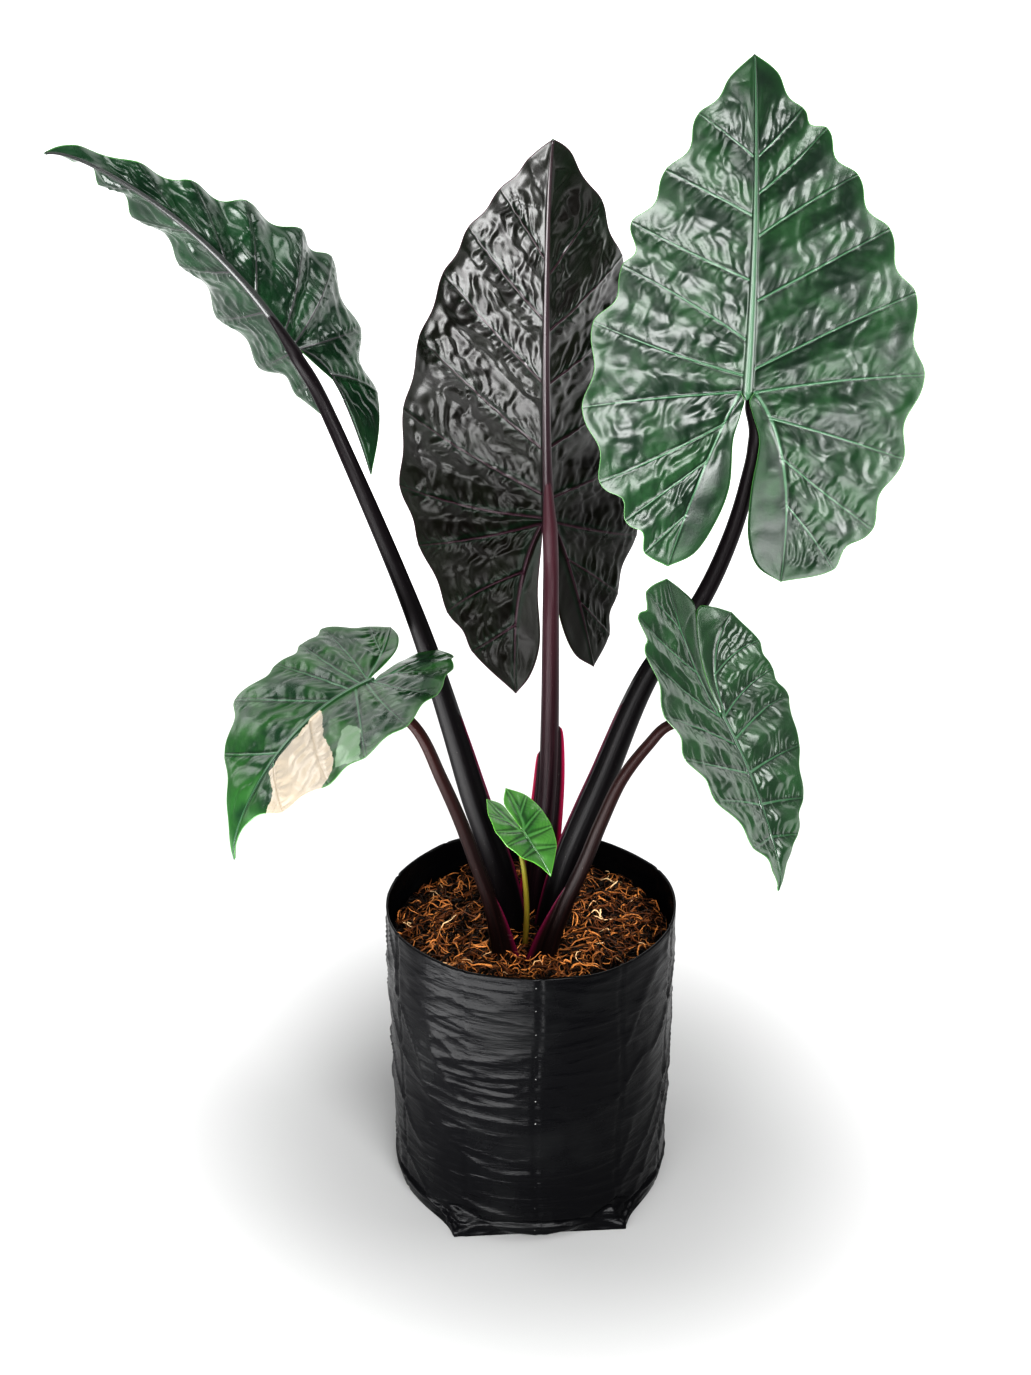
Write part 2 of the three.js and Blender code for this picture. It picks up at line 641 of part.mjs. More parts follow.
// A root tapers out from inside the corm and sags toward its tip
function rootSolid(way, extra) {
  const start = CORM_CENTRE.clone().addScaledVector(way, 0.6 * CORM_RADII.x);
  const x = new THREE.Vector3(-way.y, way.x, 0).normalize();
  const y = new THREE.Vector3().crossVectors(way, x);
  const rings = [0, 1 / 3, 2 / 3, 1].map((share) => {
    const r = ROOT_RADIUS * mix(1, ROOT_TIP, share) + extra;
    const centre = start.clone().addScaledVector(way, share * (ROOT_LENGTH + extra));
    centre.z -= ROOT_SAG * share * share;
    return [0, 60, 120, 180, 240, 300].map((turn) => centre.clone()
      .addScaledVector(x, r * Math.cos(turn * DEGREE)).addScaledVector(y, r * Math.sin(turn * DEGREE)));
  });
  return toManifold(loft(rings));
}

function cormSolid(extra = 0) {
  const ball = new THREE.SphereGeometry(1, 16, 8);
  ball.scale(CORM_RADII.x + extra, CORM_RADII.y + extra, CORM_RADII.z + extra);
  ball.translate(...CORM_CENTRE.toArray());
  const random = randomFrom(5);
  const roots = [];
  for (let i = 0; i < ROOT_COUNT; i += 1) {
    const angle = (i + 0.5 * random()) / ROOT_COUNT * 2 * Math.PI;
    const slope = mix(0.5, 1.1, random());
    roots.push(rootSolid(new THREE.Vector3(Math.cos(angle), Math.sin(angle), -slope).normalize(), extra));
  }
  return wasm.Manifold.union([solidOf(ball), ...roots]);
}

// Grow bag

// Outline of the folded base: straight in front and behind, round at the sides, with four corner ears
function baseRadius(angle) {
  const fromFront = Math.acos(Math.abs(Math.sin(angle - BASE_TURN * DEGREE))) / DEGREE;
  if (fromFront <= EAR_ANGLE) {
    return BASE_FLAT / Math.cos(fromFront * DEGREE);
  }
  return BASE_RADIUS + EAR_LENGTH * Math.exp((EAR_ANGLE - fromFront) / EAR_SPREAD);
}

function wallRadius(angle, z) {
  const toBase = Math.exp(-((z / EAR_HEIGHT) ** 2));
  return mix(mix(BASE_RADIUS + 1, BAG_RADIUS, smooth(z / BAG_HEIGHT)), baseRadius(angle), toBase);
}

// Creases that slant and come and go round the wall, and weaker level ones; both fade at the ends
function wrinkle(angle, z) {
  const slanting = Math.sin(z / 4.1 + 1.6 * Math.sin(3 * angle + z / 31)) * Math.sin(5 * angle + z / 17);
  const level = 0.6 * Math.sin(z / 2.7 + 2.3 * Math.sin(4 * angle));
  return WRINKLE * (slanting + level) * smooth(z / 30) * smooth((BAG_HEIGHT - z) / 25);
}

// The ears are flat folds of film, so the inside of the wall and the soil leave them out
function insideRadius(angle, z) {
  const round = mix(BASE_RADIUS, BAG_RADIUS, smooth(z / 60));
  return Math.min(wallRadius(angle, z), round) - WRINKLE_ROOM - BAG_WALL;
}

function ringAt(z, sides, radiusAt) {
  const ring = [];
  for (let side = 0; side < sides; side += 1) {
    const angle = (side + 0.5) / sides * 2 * Math.PI;
    const r = radiusAt(angle);
    const height = typeof z === 'function' ? z(angle) : z;
    ring.push(new THREE.Vector3(r * Math.cos(angle), r * Math.sin(angle), height));
  }
  return ring;
}

function bagGeometry() {
  const rim = (angle) => BAG_HEIGHT + RIM_WAVE * (Math.sin(3 * angle + 1) + 0.5 * Math.sin(7 * angle));
  const rings = [];
  for (let row = 0; row < BAG_ROWS; row += 1) {
    const z = (BAG_HEIGHT - RIM_DROP) * (row / BAG_ROWS) ** 1.15;
    rings.push(ringAt(z, BAG_SIDES, (angle) => wallRadius(angle, z) + wrinkle(angle, z)));
  }
  rings.push(ringAt(rim, BAG_SIDES, (angle) => wallRadius(angle, BAG_HEIGHT)));
  rings.push(ringAt(rim, BAG_SIDES, (angle) => wallRadius(angle, BAG_HEIGHT) - BAG_WALL));
  const levels = [BAG_FLOOR, ...INSIDE_LEVELS, BAG_HEIGHT - 2 * RIM_DROP].reverse();
  levels.forEach((z) => rings.push(ringAt(z, BAG_SIDES, (angle) => insideRadius(angle, z))));
  return loft(rings);
}

// Soil

function soilTop(x, y) {
  const far = Math.hypot(x, y) / BAG_RADIUS;
  const lumps = Math.sin(x / 5.3 + 2 * Math.sin(y / 9)) * Math.cos(y / 4.7 + 1.5 * Math.sin(x / 11))
    + 0.7 * Math.sin(x / 2.9 - y / 3.7) * Math.cos((x + y) / 6.1);
  return SOIL_LEVEL + SOIL_MOUND * (1 - far * far) + SOIL_RELIEF * lumps;
}

function soilSolid() {
  const rings = [];
  const side = (z) => (angle) => insideRadius(angle, z) - SOIL_SIDE_GAP;
  [BAG_FLOOR + GAP, ...INSIDE_LEVELS].forEach((z) => rings.push(ringAt(z, BAG_SIDES, side(z))));
  for (let row = SOIL_RINGS; row >= 1; row -= 1) {
    const out = (row / SOIL_RINGS) ** 0.85;
    const ring = ringAt(SOIL_LEVEL, BAG_SIDES, (angle) => side(SOIL_LEVEL)(angle) * out);
    ring.forEach((p) => p.setZ(soilTop(p.x, p.y)));
    rings.push(ring);
  }
  return toManifold(loft(rings));
}

// Assembly

const plant = new THREE.Group();
const bag = bagGeometry();
plant.add(named('grow_bag', meshGeometry(bag.points, bag.triangles), 0x121214, 0.32));

const holes = Object.keys(PETIOLES).map((name) => petioleSolid(name, GAP));
const soil = soilSolid().subtract(wasm.Manifold.union([cormSolid(GAP), ...holes]));
plant.add(named('soil', fromManifold(soil), 0x4a2a16, 0.95));
plant.add(named('corm', fromManifold(cormSolid()), 0x8a6a48, 0.85));

Object.keys(LEAVES).forEach((name) => {
  const petiole = petioleSolid(name).subtract(cormSolid(GAP));
  plant.add(named(`petiole_${name}`, fromManifold(petiole), PETIOLES[name].colour, 0.4));
  plant.add(named(`leaf_${name}`, bladeGeometry(LEAVES[name]), LEAVES[name].colour, 0.35));
});

export default plant;
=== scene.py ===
import math

import bpy
import numpy as np
from bpy.props import FloatProperty, FloatVectorProperty, IntProperty, PointerProperty
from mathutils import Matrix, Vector


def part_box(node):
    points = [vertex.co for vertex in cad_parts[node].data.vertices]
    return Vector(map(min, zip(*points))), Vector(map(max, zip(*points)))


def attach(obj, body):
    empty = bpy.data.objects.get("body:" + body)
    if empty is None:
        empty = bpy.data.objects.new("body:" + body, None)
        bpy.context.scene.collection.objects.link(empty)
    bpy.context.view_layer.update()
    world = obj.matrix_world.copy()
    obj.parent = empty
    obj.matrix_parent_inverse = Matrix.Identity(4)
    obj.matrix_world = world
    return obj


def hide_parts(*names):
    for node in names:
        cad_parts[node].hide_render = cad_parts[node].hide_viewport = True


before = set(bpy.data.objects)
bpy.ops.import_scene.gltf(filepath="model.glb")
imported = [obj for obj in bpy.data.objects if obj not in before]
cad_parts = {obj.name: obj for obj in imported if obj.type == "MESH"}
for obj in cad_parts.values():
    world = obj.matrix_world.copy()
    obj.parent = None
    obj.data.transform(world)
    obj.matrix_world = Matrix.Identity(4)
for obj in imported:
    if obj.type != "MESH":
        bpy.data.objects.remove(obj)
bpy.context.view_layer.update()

bl_info = {
    "name": "Potted arrow-leaved aroid",
    "version": (1, 0, 0),
    "blender": (4, 5, 0),
    "location": "3D View > Sidebar > Plant",
    "description": "Dresses a potted aroid: ribbed leaves, sheathed petioles, a film bag and coir",
    "category": "Object",
}

MM = 0.001                       # the plant's own tables are in millimetres, everything else in metres
BODY = "root"

BAG_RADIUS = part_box("grow_bag")[1].x / MM
SOIL_LOW, SOIL_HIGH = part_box("soil")
BAG_HEIGHT = 205.0
SOIL_LEVEL = 180.0               # of the coir at the bag's wall

# Each blade is drawn flat, in mm across and along its midrib, with its stalk at 0, 0, and then bent:
# "droop", "hook", "sway" and "twist" turn the midrib ahead of the stalk, the "back_" entries turn it behind,
# and "fold" and "curl" lift the right and the left half. Angles are in degrees.
# A vein is (place of its root on the rib, end across, end along); roots below 0 lie on a lobe's rib.
# The first entry of "veins" only shapes the edge. "sinus" is the edge of the gap between the lobes.
LEAVES = {
    "right_high": {
        "junction": (128, 20, 543), "heading": 79, "pitch": 73, "roll": 7,
        "length": 202, "droop": 13, "hook": 9, "sway": -5, "twist": -1,
        "back": 112, "back_droop": 9, "back_sway": 0,
        "reach": 103, "fold": (13, 13), "lobe_fold": (15, 15), "curl": (0, 0),
        "quilt": 1.8, "wave": 2.2, "rib": 7.6, "rib_depth": 8,
        "right": {
            "scallop": 6,
            "veins": [(178, 12, 190), (139, 28, 165), (117, 42, 152), (92, 60, 124), (54, 79, 93),
                      (14, 95, 58), (0, 103, 14), (-24, 95, -33), (-53, 81, -74), (-80, 60, -100)],
            "lobe_tip": (29, -111), "lobe_bend": (34, -30),
            "sinus": [(1.6, -5), (4.2, -13), (9, -27), (6.6, -58), (7, -86), (14, -103)],
        },
        "left": {
            "scallop": 6,
            "veins": [(180, 13, 189), (139, 35, 163), (104, 55, 128), (66, 75, 96), (31, 80, 70),
                      (10, 96, 36), (0, 100, -14), (-26, 87, -56), (-52, 70, -78), (-85, 57, -97)],
            "lobe_tip": (42, -105), "lobe_bend": (24, -38),
            "sinus": [(1.6, -5), (3.2, -13), (6.5, -27), (7, -56), (14, -78), (26, -97)],
        },
    },
    "middle": {
        "junction": (10, 35, 455), "heading": -102, "pitch": 80, "roll": 24,
        "length": 262, "droop": 17, "hook": 14, "sway": 0, "twist": -1,
        "back": 124, "back_droop": 16, "back_sway": 0,
        "reach": 101, "fold": (28, 28), "lobe_fold": (38, 38), "curl": (17, 17),
        "quilt": 2.2, "wave": 2, "rib": 6.2, "rib_depth": 7,
        "right": {
            "scallop": 2,
            "veins": [(238, 11, 246), (182, 28, 221), (142, 47, 192), (99, 64, 158), (53, 82, 112),
                      (21, 97, 60), (4, 104, 7), (0, 94, -31), (-45, 80, -74), (-84, 64, -98)],
            "lobe_tip": (32, -122), "lobe_bend": (26, -44), "sinus": [(5, -18), (9, -50), (11, -88), (20, -109)],
        },
        "left": {
            "scallop": 2,
            "veins": [(238, 12, 248), (171, 42, 202), (133, 64, 156), (97, 80, 113), (53, 94, 62),
                      (17, 101, 8), (0, 92, -44), (-40, 72, -76), (-76, 62, -100)],
            "lobe_tip": (40, -114), "lobe_bend": (20, -40), "sinus": [(5, -20), (6, -52), (8, -74), (20, -99)],
        },
    },
    "left_high": {
        "junction": (-138, 0, 573), "heading": 205, "pitch": 61, "roll": 68,
        "length": 200, "droop": 30, "hook": 32, "sway": 26, "twist": 0,
        "back": 95, "back_droop": 15, "back_sway": -8,
        "reach": 75, "fold": (37, 42), "lobe_fold": (52, 60), "curl": (26, 38),
        "quilt": 2.2, "wave": 5, "rib": 4.6, "rib_depth": 5,
        "right": {
            "scallop": 3.5,
            "veins": [(181, 6, 175), (140, 19, 148), (98, 33, 114), (62, 43, 69), (30, 55, 25), (0, 45, -10),
                      (-26, 25, -30)],
            "lobe_tip": (7, -56), "lobe_bend": (10, -24), "sinus": [(1, -16), (1, -30), (3, -45)],
        },
        "left": {
            "scallop": 4,
            "veins": [(182, 6, 180), (110, 14, 142), (71, 24, 109), (43, 40, 75), (14, 62, 38), (4, 74, 14),
                      (0, 61, -24), (-34, 46, -58)],
            "lobe_tip": (-5, -87), "lobe_bend": (26, -30), "sinus": [(9, -18), (15, -42), (14, -62), (5, -77)],
        },
    },
    "left_low": {
        "junction": (-95, -72, 396), "heading": 218, "pitch": -5, "roll": 4,
        "length": 139, "droop": 63, "hook": 21, "sway": -5, "twist": -5,
        "back": 62, "back_droop": 9, "back_sway": 15,
        "reach": 74, "fold": (5, 5), "lobe_fold": (8, 8), "curl": (0, 0),
        "quilt": 1.8, "wave": 1.5, "rib": 5, "rib_depth": 3,
        "right": {
            "scallop": 6,
            "veins": [(118, 9, 119), (72, 36, 87), (28, 59, 57), (14, 61, 26), (6, 69, 4), (0, 76, -24),
                      (-38, 56, -52)],
            "lobe_tip": (47, -64), "lobe_bend": (24, -26), "sinus": [(12, -22), (24, -43), (36, -57)],
        },
        "left": {
            "scallop": 2,
            "veins": [(118, 6, 116), (78, 33, 100), (46, 57, 75), (12, 68, 52), (4, 73, 24), (0, 57, -7),
                      (-16, 32, -35), (-38, 13, -53)],
            "lobe_tip": (-9, -64), "lobe_bend": (2, -30), "sinus": [(-6, -16), (-12, -36), (-16, -54)],
        },
    },
    "right_low": {
        "junction": (113, -60, 367), "heading": -55, "pitch": -42, "roll": -20,
        "length": 110, "droop": 20, "hook": 32, "sway": -3, "twist": -4,
        "back": 90, "back_droop": -20, "back_sway": -30,
        "reach": 68, "fold": (6, 6), "lobe_fold": (10, 10), "curl": (0, 0),
        "quilt": 1.8, "wave": 1.5, "rib": 5, "rib_depth": 3,
        "right": {
            "scallop": 5,
            "veins": [(96, 9, 98), (77, 28, 80), (57, 54, 50), (37, 68, 24), (18, 66, -2), (0, 63, -32),
                      (-30, 65, -48), (-56, 55, -63)],
            "lobe_tip": (34, -77), "lobe_bend": (8, -40),
            "sinus": [(0.2, -5), (0.15, -28), (0.2, -56), (2, -74), (17, -77)],
        },
        "left": {
            "scallop": 5,
            "veins": [(96, 8, 95), (77, 27, 80), (57, 43, 60), (37, 58, 28), (15, 69, -8), (0, 61, -38),
                      (-32, 51, -64)],
            "lobe_tip": (28, -80), "lobe_bend": (8, -36),
            "sinus": [(0.2, -5), (0.15, -28), (0.2, -56), (2, -74), (13, -78)],
        },
    },
    "small": {
        "junction": (-6, -40, 279), "heading": -43, "pitch": -38, "roll": -1,
        "length": 34, "droop": 10, "hook": 6, "sway": 1, "twist": -1,
        "back": 31, "back_droop": 4, "back_sway": 0,
        "reach": 22, "fold": (9, 9), "lobe_fold": (11, 11), "curl": (0, 0),
        "quilt": 0.6, "wave": 0.3, "rib": 2.2, "rib_depth": 1.4,
        "right": {
            "scallop": 0.4,
            "veins": [(27, 5, 25), (14, 15, 16), (5, 21, 5), (0, 22, -6), (-12, 18, -18)],
            "lobe_tip": (10, -28), "lobe_bend": (7, -9), "sinus": [(0.2, -2), (0.3, -11), (1.2, -21)],
        },
        "left": {
            "scallop": 0.4,
            "veins": [(27, 7, 27), (14, 15, 19), (5, 20, 7), (0, 21, -6), (-12, 18, -18)],
            "lobe_tip": (9, -29), "lobe_bend": (7, -9), "sinus": [(0.2, -2), (0.3, -11), (1.2, -21)],
        },
    },
}

# How each blade is dressed: its material slot, the face that is made finest (1 upper, -1 under), the distance
# between rows of points and between side creases in mm, the share of the pucker height, and the columns.
DRESS = {
    "right_high": {"slot": "leaf_bright", "fine": 1, "step": 1.35, "cells": 8.5, "pucker": 1.0, "columns": 70},
    "middle": {"slot": "leaf_underside", "fine": -1, "step": 1.35, "cells": 12, "pucker": 1.25, "columns": 70},
    "left_high": {"slot": "leaf_deep", "fine": -1, "step": 1.2, "cells": 8.5, "pucker": 1.0, "columns": 56},
    "left_low": {"slot": "leaf_variegated", "fine": 1, "step": 1.2, "cells": 8, "pucker": 0.7, "columns": 54},
    "right_low": {"slot": "leaf_deep", "fine": 1, "step": 1.2, "cells": 8, "pucker": 0.75, "columns": 54},
    "small": {"slot": "leaf_young", "fine": 1, "step": 0.9, "cells": 4.5, "pucker": 0.35, "columns": 24},
}

# The cream and mint sectors of the left low leaf, as flat outlines on its left half; the mint sector's pale colour is
# partly a painted gloss highlight
CREAM_PATCH = [(-1, 36), (3, 55), (4, 69), (3, 84), (8, 87), (15, 91), (19, 96), (22, 108), (41, 97), (54, 84),
               (52, 66), (46, 60), (34, 55), (23, 51), (8, 40)]
MINT_HIGHLIGHT_PATCH = [(35, 44), (34, 38), (44, 37), (66, 55), (61, 61), (54, 66)]

# Centre lines of the petioles from the soil upward, and their radii there, at 1/3, at 2/3 and at the top.
# "settle" is the length in mm of the straight end below the leaf, "approach" the angle from the rib at which
# it arrives, and "aside" how far its upper end is moved in x and y.
# A wing is (azimuth, height of its upper end, how far it stands out at the soil, how fast it narrows).
PETIOLES = {
    "right_high": {
        "points": [(13, -2, 184), (23, -1, 232), (45, 1, 293), (73, 5, 365), (104, 8, 413), (121, 12, 453),
                   (130, 15, 487), (133.5, 17, 514)],
        "radii": (9.5, 9.5, 5.8, 4.2), "settle": 10, "aside": (4, 1.2), "approach": 0, "slot": "dark_stalk",
        "wings": [(205, 345, 3.2, 0.3)],
    },
    "middle": {
        "points": [(3, 17, 184), (7, 20, 231), (11, 24, 281), (12, 26, 333), (12, 28, 399)],
        "radii": (8, 6.6, 5.6, 4.7), "settle": 24, "approach": 0, "slot": "purple_stalk",
        "wings": [(14, 318, 6.6, 0.22), (168, 300, 5, 0.25)],
    },
    "left_high": {
        "points": [(-13, -2, 184), (-22, -4, 234), (-36, -6, 282), (-50, -8, 336), (-66, -9, 393),
                   (-80, -9, 435), (-105, -8, 501)],
        "radii": (9.5, 8.6, 5.4, 3.8), "settle": 22, "approach": 0, "slot": "dark_stalk",
        "wings": [(340, 342, 3.4, 0.3)],
    },
    "left_low": {
        "points": [(-20, -36, 184), (-26, -40, 225), (-35, -46, 259), (-44, -53, 292), (-55, -61, 326),
                   (-69, -68, 363)],
        "radii": (6.2, 4.8, 4, 3), "settle": 7, "approach": 60, "slot": "brown_stalk",
        "wings": [(341, 232, 8.5, 0.8)],
    },
    "right_low": {
        "points": [(10, -38, 184), (21, -40, 224), (33, -43, 257), (43, -46, 288), (55, -48, 319),
                   (70, -50, 343), (82, -53, 358)],
        "radii": (6.8, 5, 4, 2.8), "settle": 8, "approach": 60, "slot": "brown_stalk",
        "wings": [(192, 240, 8.5, 0.8)],
    },
    "small": {
        "points": [(-4, -28, 184), (-3, -33, 218), (-5, -38, 250)],
        "radii": (2.4, 2, 1.8, 1.4), "settle": 4, "approach": 90, "slot": "olive_stalk",
        "wings": [],
    },
}

SPINE_STEPS = 60
HOOK_START = 0.8                 # the share of the midrib where a hooked tip starts
CAD_BLADE = 0.8                  # thickness of the solid blades
GAP = 0.3                        # between a solid blade and its petiole
CORM_CENTRE = (-4, -10, 126)
PETIOLE_FOOT = 141               # height of the petioles' buried ends
FOOT_SPREAD = 0.85
SCALLOP_SHARE = 0.14             # no scallop is deeper than this share of the half's width
FAR = 99.0                       # a distance that stands for no vein near
INNER_PANEL = 16.0               # width that the relief takes for the part beside the gap between the lobes
NOISE_SPAN = 64

# Widths and depths of a midrib and its stations
RIB_TIP_WIDTH, RIB_TIP_DEPTH, RIB_MIDDLE_DEPTH = 0.2, 0.12, 0.5
RIB_SWELLING, RIB_SWELLING_REACH = 0.5, 0.09
RIB_COLUMNS = (0, 0.3, 0.55, 0.75, 0.9)
RIB_CREST = 0.9
RIB_NOSE = 0.62                  # how far the rib's end reaches into the gap between the lobes
RIB_RUN_ON = 0.16                # share of the blade along which a petiole runs on inside the rib

# Rows and columns of points on a half blade
VEIN_ROWS = (0.4, 0.9, 1.6, 2.5)
INNER_COLUMNS = 12
MARGIN_WIDTH = 1.1
VEIN_BOW = 0.025

# Heights of the relief, as shares of the pucker height
CREASE_HEIGHT, BROAD_HEIGHT, RAGGED_HEIGHT = 1.3, 0.6, 0.7
SWELL_HEIGHT, SMALL_SWELL_HEIGHT = 1.3, 0.12

# Heights of the veins, as shares of the vein height, and half their widths
RIDGE_HEIGHT, UNDER_VEIN_HEIGHT, UNDER_LOBE_HEIGHT = 1.1, 1.5, 2.6
GROOVE_WIDTH, LOBE_GROOVE_WIDTH, RIDGE_WIDTH, LOBE_RIDGE_WIDTH = 1.7, 2.2, 0.62, 0.9

# A blade thins to its edge, and its coarser face lies deeper so that it never shows through the fine one
EDGE_SHARE, EDGE_TAPER = 0.45, 3
COARSE_DEPTH, COARSE_START = 0.35, 4

# Colours that belong to a finish and not to the settings
# painted shade: the dark green laid into the side creases of a blade
PAINTED_CREASE_SHADE = (0.004, 0.02, 0.008)
# painted shade: the darker green a little way out beside each vein
PAINTED_SHADE_BESIDE_VEINS = (0.002, 0.009, 0.004)
PATCH_VEIN = (0.16, 0.12, 0.07)
SPECK = (0.5, 0.45, 0.4)
FILM_DUST = (0.005, 0.0052, 0.0055)
PINHOLE = (0.14, 0.14, 0.135)
CORM_DARK, CORM_LIGHT = (0.13, 0.07, 0.035), (0.33, 0.22, 0.13)
FLOOR_GRAIN = (0.245, 0.245, 0.245)
FLOOR_FRONT = (0.05, 0.05, 0.05)


# Mathematics

def smooth(value):
    value = np.clip(value, 0, 1)
    return value * value * (3 - 2 * value)


def mix(a, b, share):
    return a + (b - a) * share


def bell(value, width):
    return np.exp(-(value / width) ** 2)


def noise(x, y, seed, wrap=NOISE_SPAN):
    """Smooth noise from -1 to 1 over a plane, one lump for each unit; it repeats along x after wrap"""
    table = np.random.default_rng(seed).uniform(-1, 1, (wrap, NOISE_SPAN))
    i, j = np.floor(x).astype(int), np.floor(y).astype(int)
    across, along = smooth(x - i), smooth(y - j)
    low = mix(table[i % wrap, j % NOISE_SPAN], table[(i + 1) % wrap, j % NOISE_SPAN], across)
    j = (j + 1) % NOISE_SPAN
    high = mix(table[i % wrap, j], table[(i + 1) % wrap, j], across)
    return mix(low, high, along)


def turned(way, axis, angle):
    """A direction turned about an axis"""
    cos, sin = math.cos(angle), math.sin(angle)
    return way * cos + np.cross(axis, way) * sin + axis * np.dot(axis, way) * (1 - cos)


def unit(rows):
    return rows / np.linalg.norm(rows, axis=-1, keepdims=True)


def spline(points):
    """A smooth line through points, evenly eased at uneven spacing; its parameter counts the points"""
    points = np.array(points, float)
    ends = [2 * points[0] - points[1]], [2 * points[-1] - points[-2]]
    padded = np.concatenate([ends[0], points, ends[1]])
    spans = np.maximum(np.linalg.norm(np.diff(padded, axis=0), axis=1), 1e-8) ** 0.5

    def at(place):
        place = np.clip(np.asarray(place, float), 0, len(points) - 1)
        low = np.minimum(np.floor(place).astype(int), len(points) - 2)
        t = (place - low)[..., None]
        a, b, c, d = (padded[low + step] for step in range(4))
        before, here, after = (spans[low + step][..., None] for step in range(3))
        leaving = ((b - a) / before - (c - a) / (before + here) + (c - b) / here) * here
        arriving = ((c - b) / here - (d - b) / (here + after) + (d - c) / after) * here
        cubic = (2 * b - 2 * c + leaving + arriving) * t ** 3
        return cubic + (3 * c - 3 * b - 2 * leaving - arriving) * t ** 2 + leaving * t + b

    return at


# Meshes

def make_object(name, points, faces, face_materials=None, attributes=None):
    """A smooth mesh object from points in metres; attributes are numbers or vectors for each point"""
    mesh = bpy.data.meshes.new(name)
    mesh.from_pydata(points.tolist(), [], faces)
    mesh.polygons.foreach_set("use_smooth", [True] * len(mesh.polygons))
    if face_materials is not None:
        mesh.polygons.foreach_set("material_index", face_materials)
    for label, values in (attributes or {}).items():
        vector = values.ndim > 1
        layer = mesh.attributes.new(label, "FLOAT_VECTOR" if vector else "FLOAT", "POINT")
        layer.data.foreach_set("vector" if vector else "value", values.astype(np.float32).ravel())
    mesh.update()
    piece = bpy.data.objects.new(name, mesh)
    bpy.context.scene.collection.objects.link(piece)
    return piece


def grid_faces(rows, columns, start=0, closed=False):
    """Four-sided faces of a grid of points; a closed one joins its last column to its first"""
    row = np.arange(rows - 1)[:, None] * columns + start
    column = np.arange(columns if closed else columns - 1)[None]
    after = (column + 1) % columns
    corners = np.stack([row + column, row + after, row + columns + after, row + columns + column], -1)
    return corners.reshape(-1, 4)


def fan_faces(centre, ring, flip):
    """Three-sided faces from a point to a closed ring of points"""
    after = np.roll(ring, -1)
    pairs = (after, ring) if flip else (ring, after)
    return np.stack([np.full(len(ring), centre), *pairs], -1)


def capped_faces(rows, columns):
    """Faces of a closed tube of rings, and of the fans to the two points that follow its grid"""
    ring, count = np.arange(columns), rows * columns
    first = fan_faces(count, ring, True)
    last = fan_faces(count + 1, ring + count - columns, False)
    return grid_faces(rows, columns, closed=True).tolist() + first.tolist() + last.tolist()


def zip_faces(near, far, near_place, far_place):
    """Three-sided faces between two lines of points, whose places both grow"""
    faces = []
    i = j = 0
    while i < len(near) - 1 or j < len(far) - 1:
        take_near = j == len(far) - 1 or (i < len(near) - 1 and near_place[i + 1] <= far_place[j + 1])
        if take_near:
            faces.append((near[i], near[i + 1], far[j]))
            i += 1
        else:
            faces.append((near[i], far[j + 1], far[j]))
            j += 1
    return np.array(faces).reshape(-1, 3)


# Curved surface of a blade

def walk_spine(leaf, ahead):
    """Frames down the midrib: the place, the way along, the upper face's normal and the way across"""
    heading, pitch = math.radians(leaf["heading"]), math.radians(leaf["pitch"])
    level, steep = math.cos(pitch), math.sin(pitch)
    along = np.array([level * math.cos(heading), level * math.sin(heading), steep])
    up = np.array([-steep * math.cos(heading), -steep * math.sin(heading), level])
    up = turned(up, along, math.radians(leaf["roll"]))
    centre = np.array(leaf["junction"], float)
    step = (leaf["length"] if ahead else -leaf["back"]) / SPINE_STEPS
    frames = [(centre, along, up, np.cross(along, up))]
    for i in range(SPINE_STEPS):
        share = (i + 0.5) / SPINE_STEPS
        hook = 2 * max(0, share - HOOK_START) / (1 - HOOK_START) ** 2
        droop = leaf["droop"] + leaf["hook"] * hook if ahead else -leaf["back_droop"]
        sway = leaf["sway"] if ahead else -leaf["back_sway"]
        twist = leaf["twist"] if ahead else 0
        one = math.radians(1 / SPINE_STEPS)
        across = frames[-1][3]
        along = turned(along, across, -droop * one)
        up = turned(up, across, -droop * one)
        along = turned(along, up, -sway * one)
        up = turned(up, along, twist * one)
        centre = centre + along * step
        frames.append((centre, along, up, np.cross(along, up)))
    return np.array(frames)


def frames_at(leaf, spines, v):
    """The frames at places along the midrib, ahead of the stalk or behind it"""
    ahead, behind = spines
    place = np.where(v >= 0, v / leaf["length"], -v / leaf["back"]) * SPINE_STEPS
    low = np.clip(np.floor(place).astype(int), 0, SPINE_STEPS - 1)
    share = (place - low)[:, None, None]
    forward = (v >= 0)[:, None, None]
    start = np.where(forward, ahead[low], behind[low])
    end = np.where(forward, ahead[low + 1], behind[low + 1])
    frames = mix(start, end, share)
    frames[:, 1:] = unit(frames[:, 1:])
    return frames


def place_on(leaf, spines, side, u, v):
    """Puts flat points of the blade in space: each half is folded up at the midrib and may curl further"""
    frames = frames_at(leaf, spines, v)
    half = (side < 0).astype(int)
    fold = mix(np.array(leaf["fold"])[half], np.array(leaf["lobe_fold"])[half], smooth(-v / leaf["back"]))
    fold = np.radians(fold)
    curl = np.radians(np.maximum(np.array(leaf["curl"], float)[half], 1e-4)) / leaf["reach"]
    sideways = (np.sin(fold + curl * u) - np.sin(fold)) / curl
    rise = (np.cos(fold) - np.cos(fold + curl * u)) / curl
    return frames[:, 0] + (side * sideways)[:, None] * frames[:, 3] + rise[:, None] * frames[:, 2]


def rib_half(leaf, v):
    """Half the midrib's width at places along it"""
    return leaf["rib"] / 2 * mix(RIB_TIP_WIDTH, 1, np.clip(1 - v / leaf["length"], 0, 1))


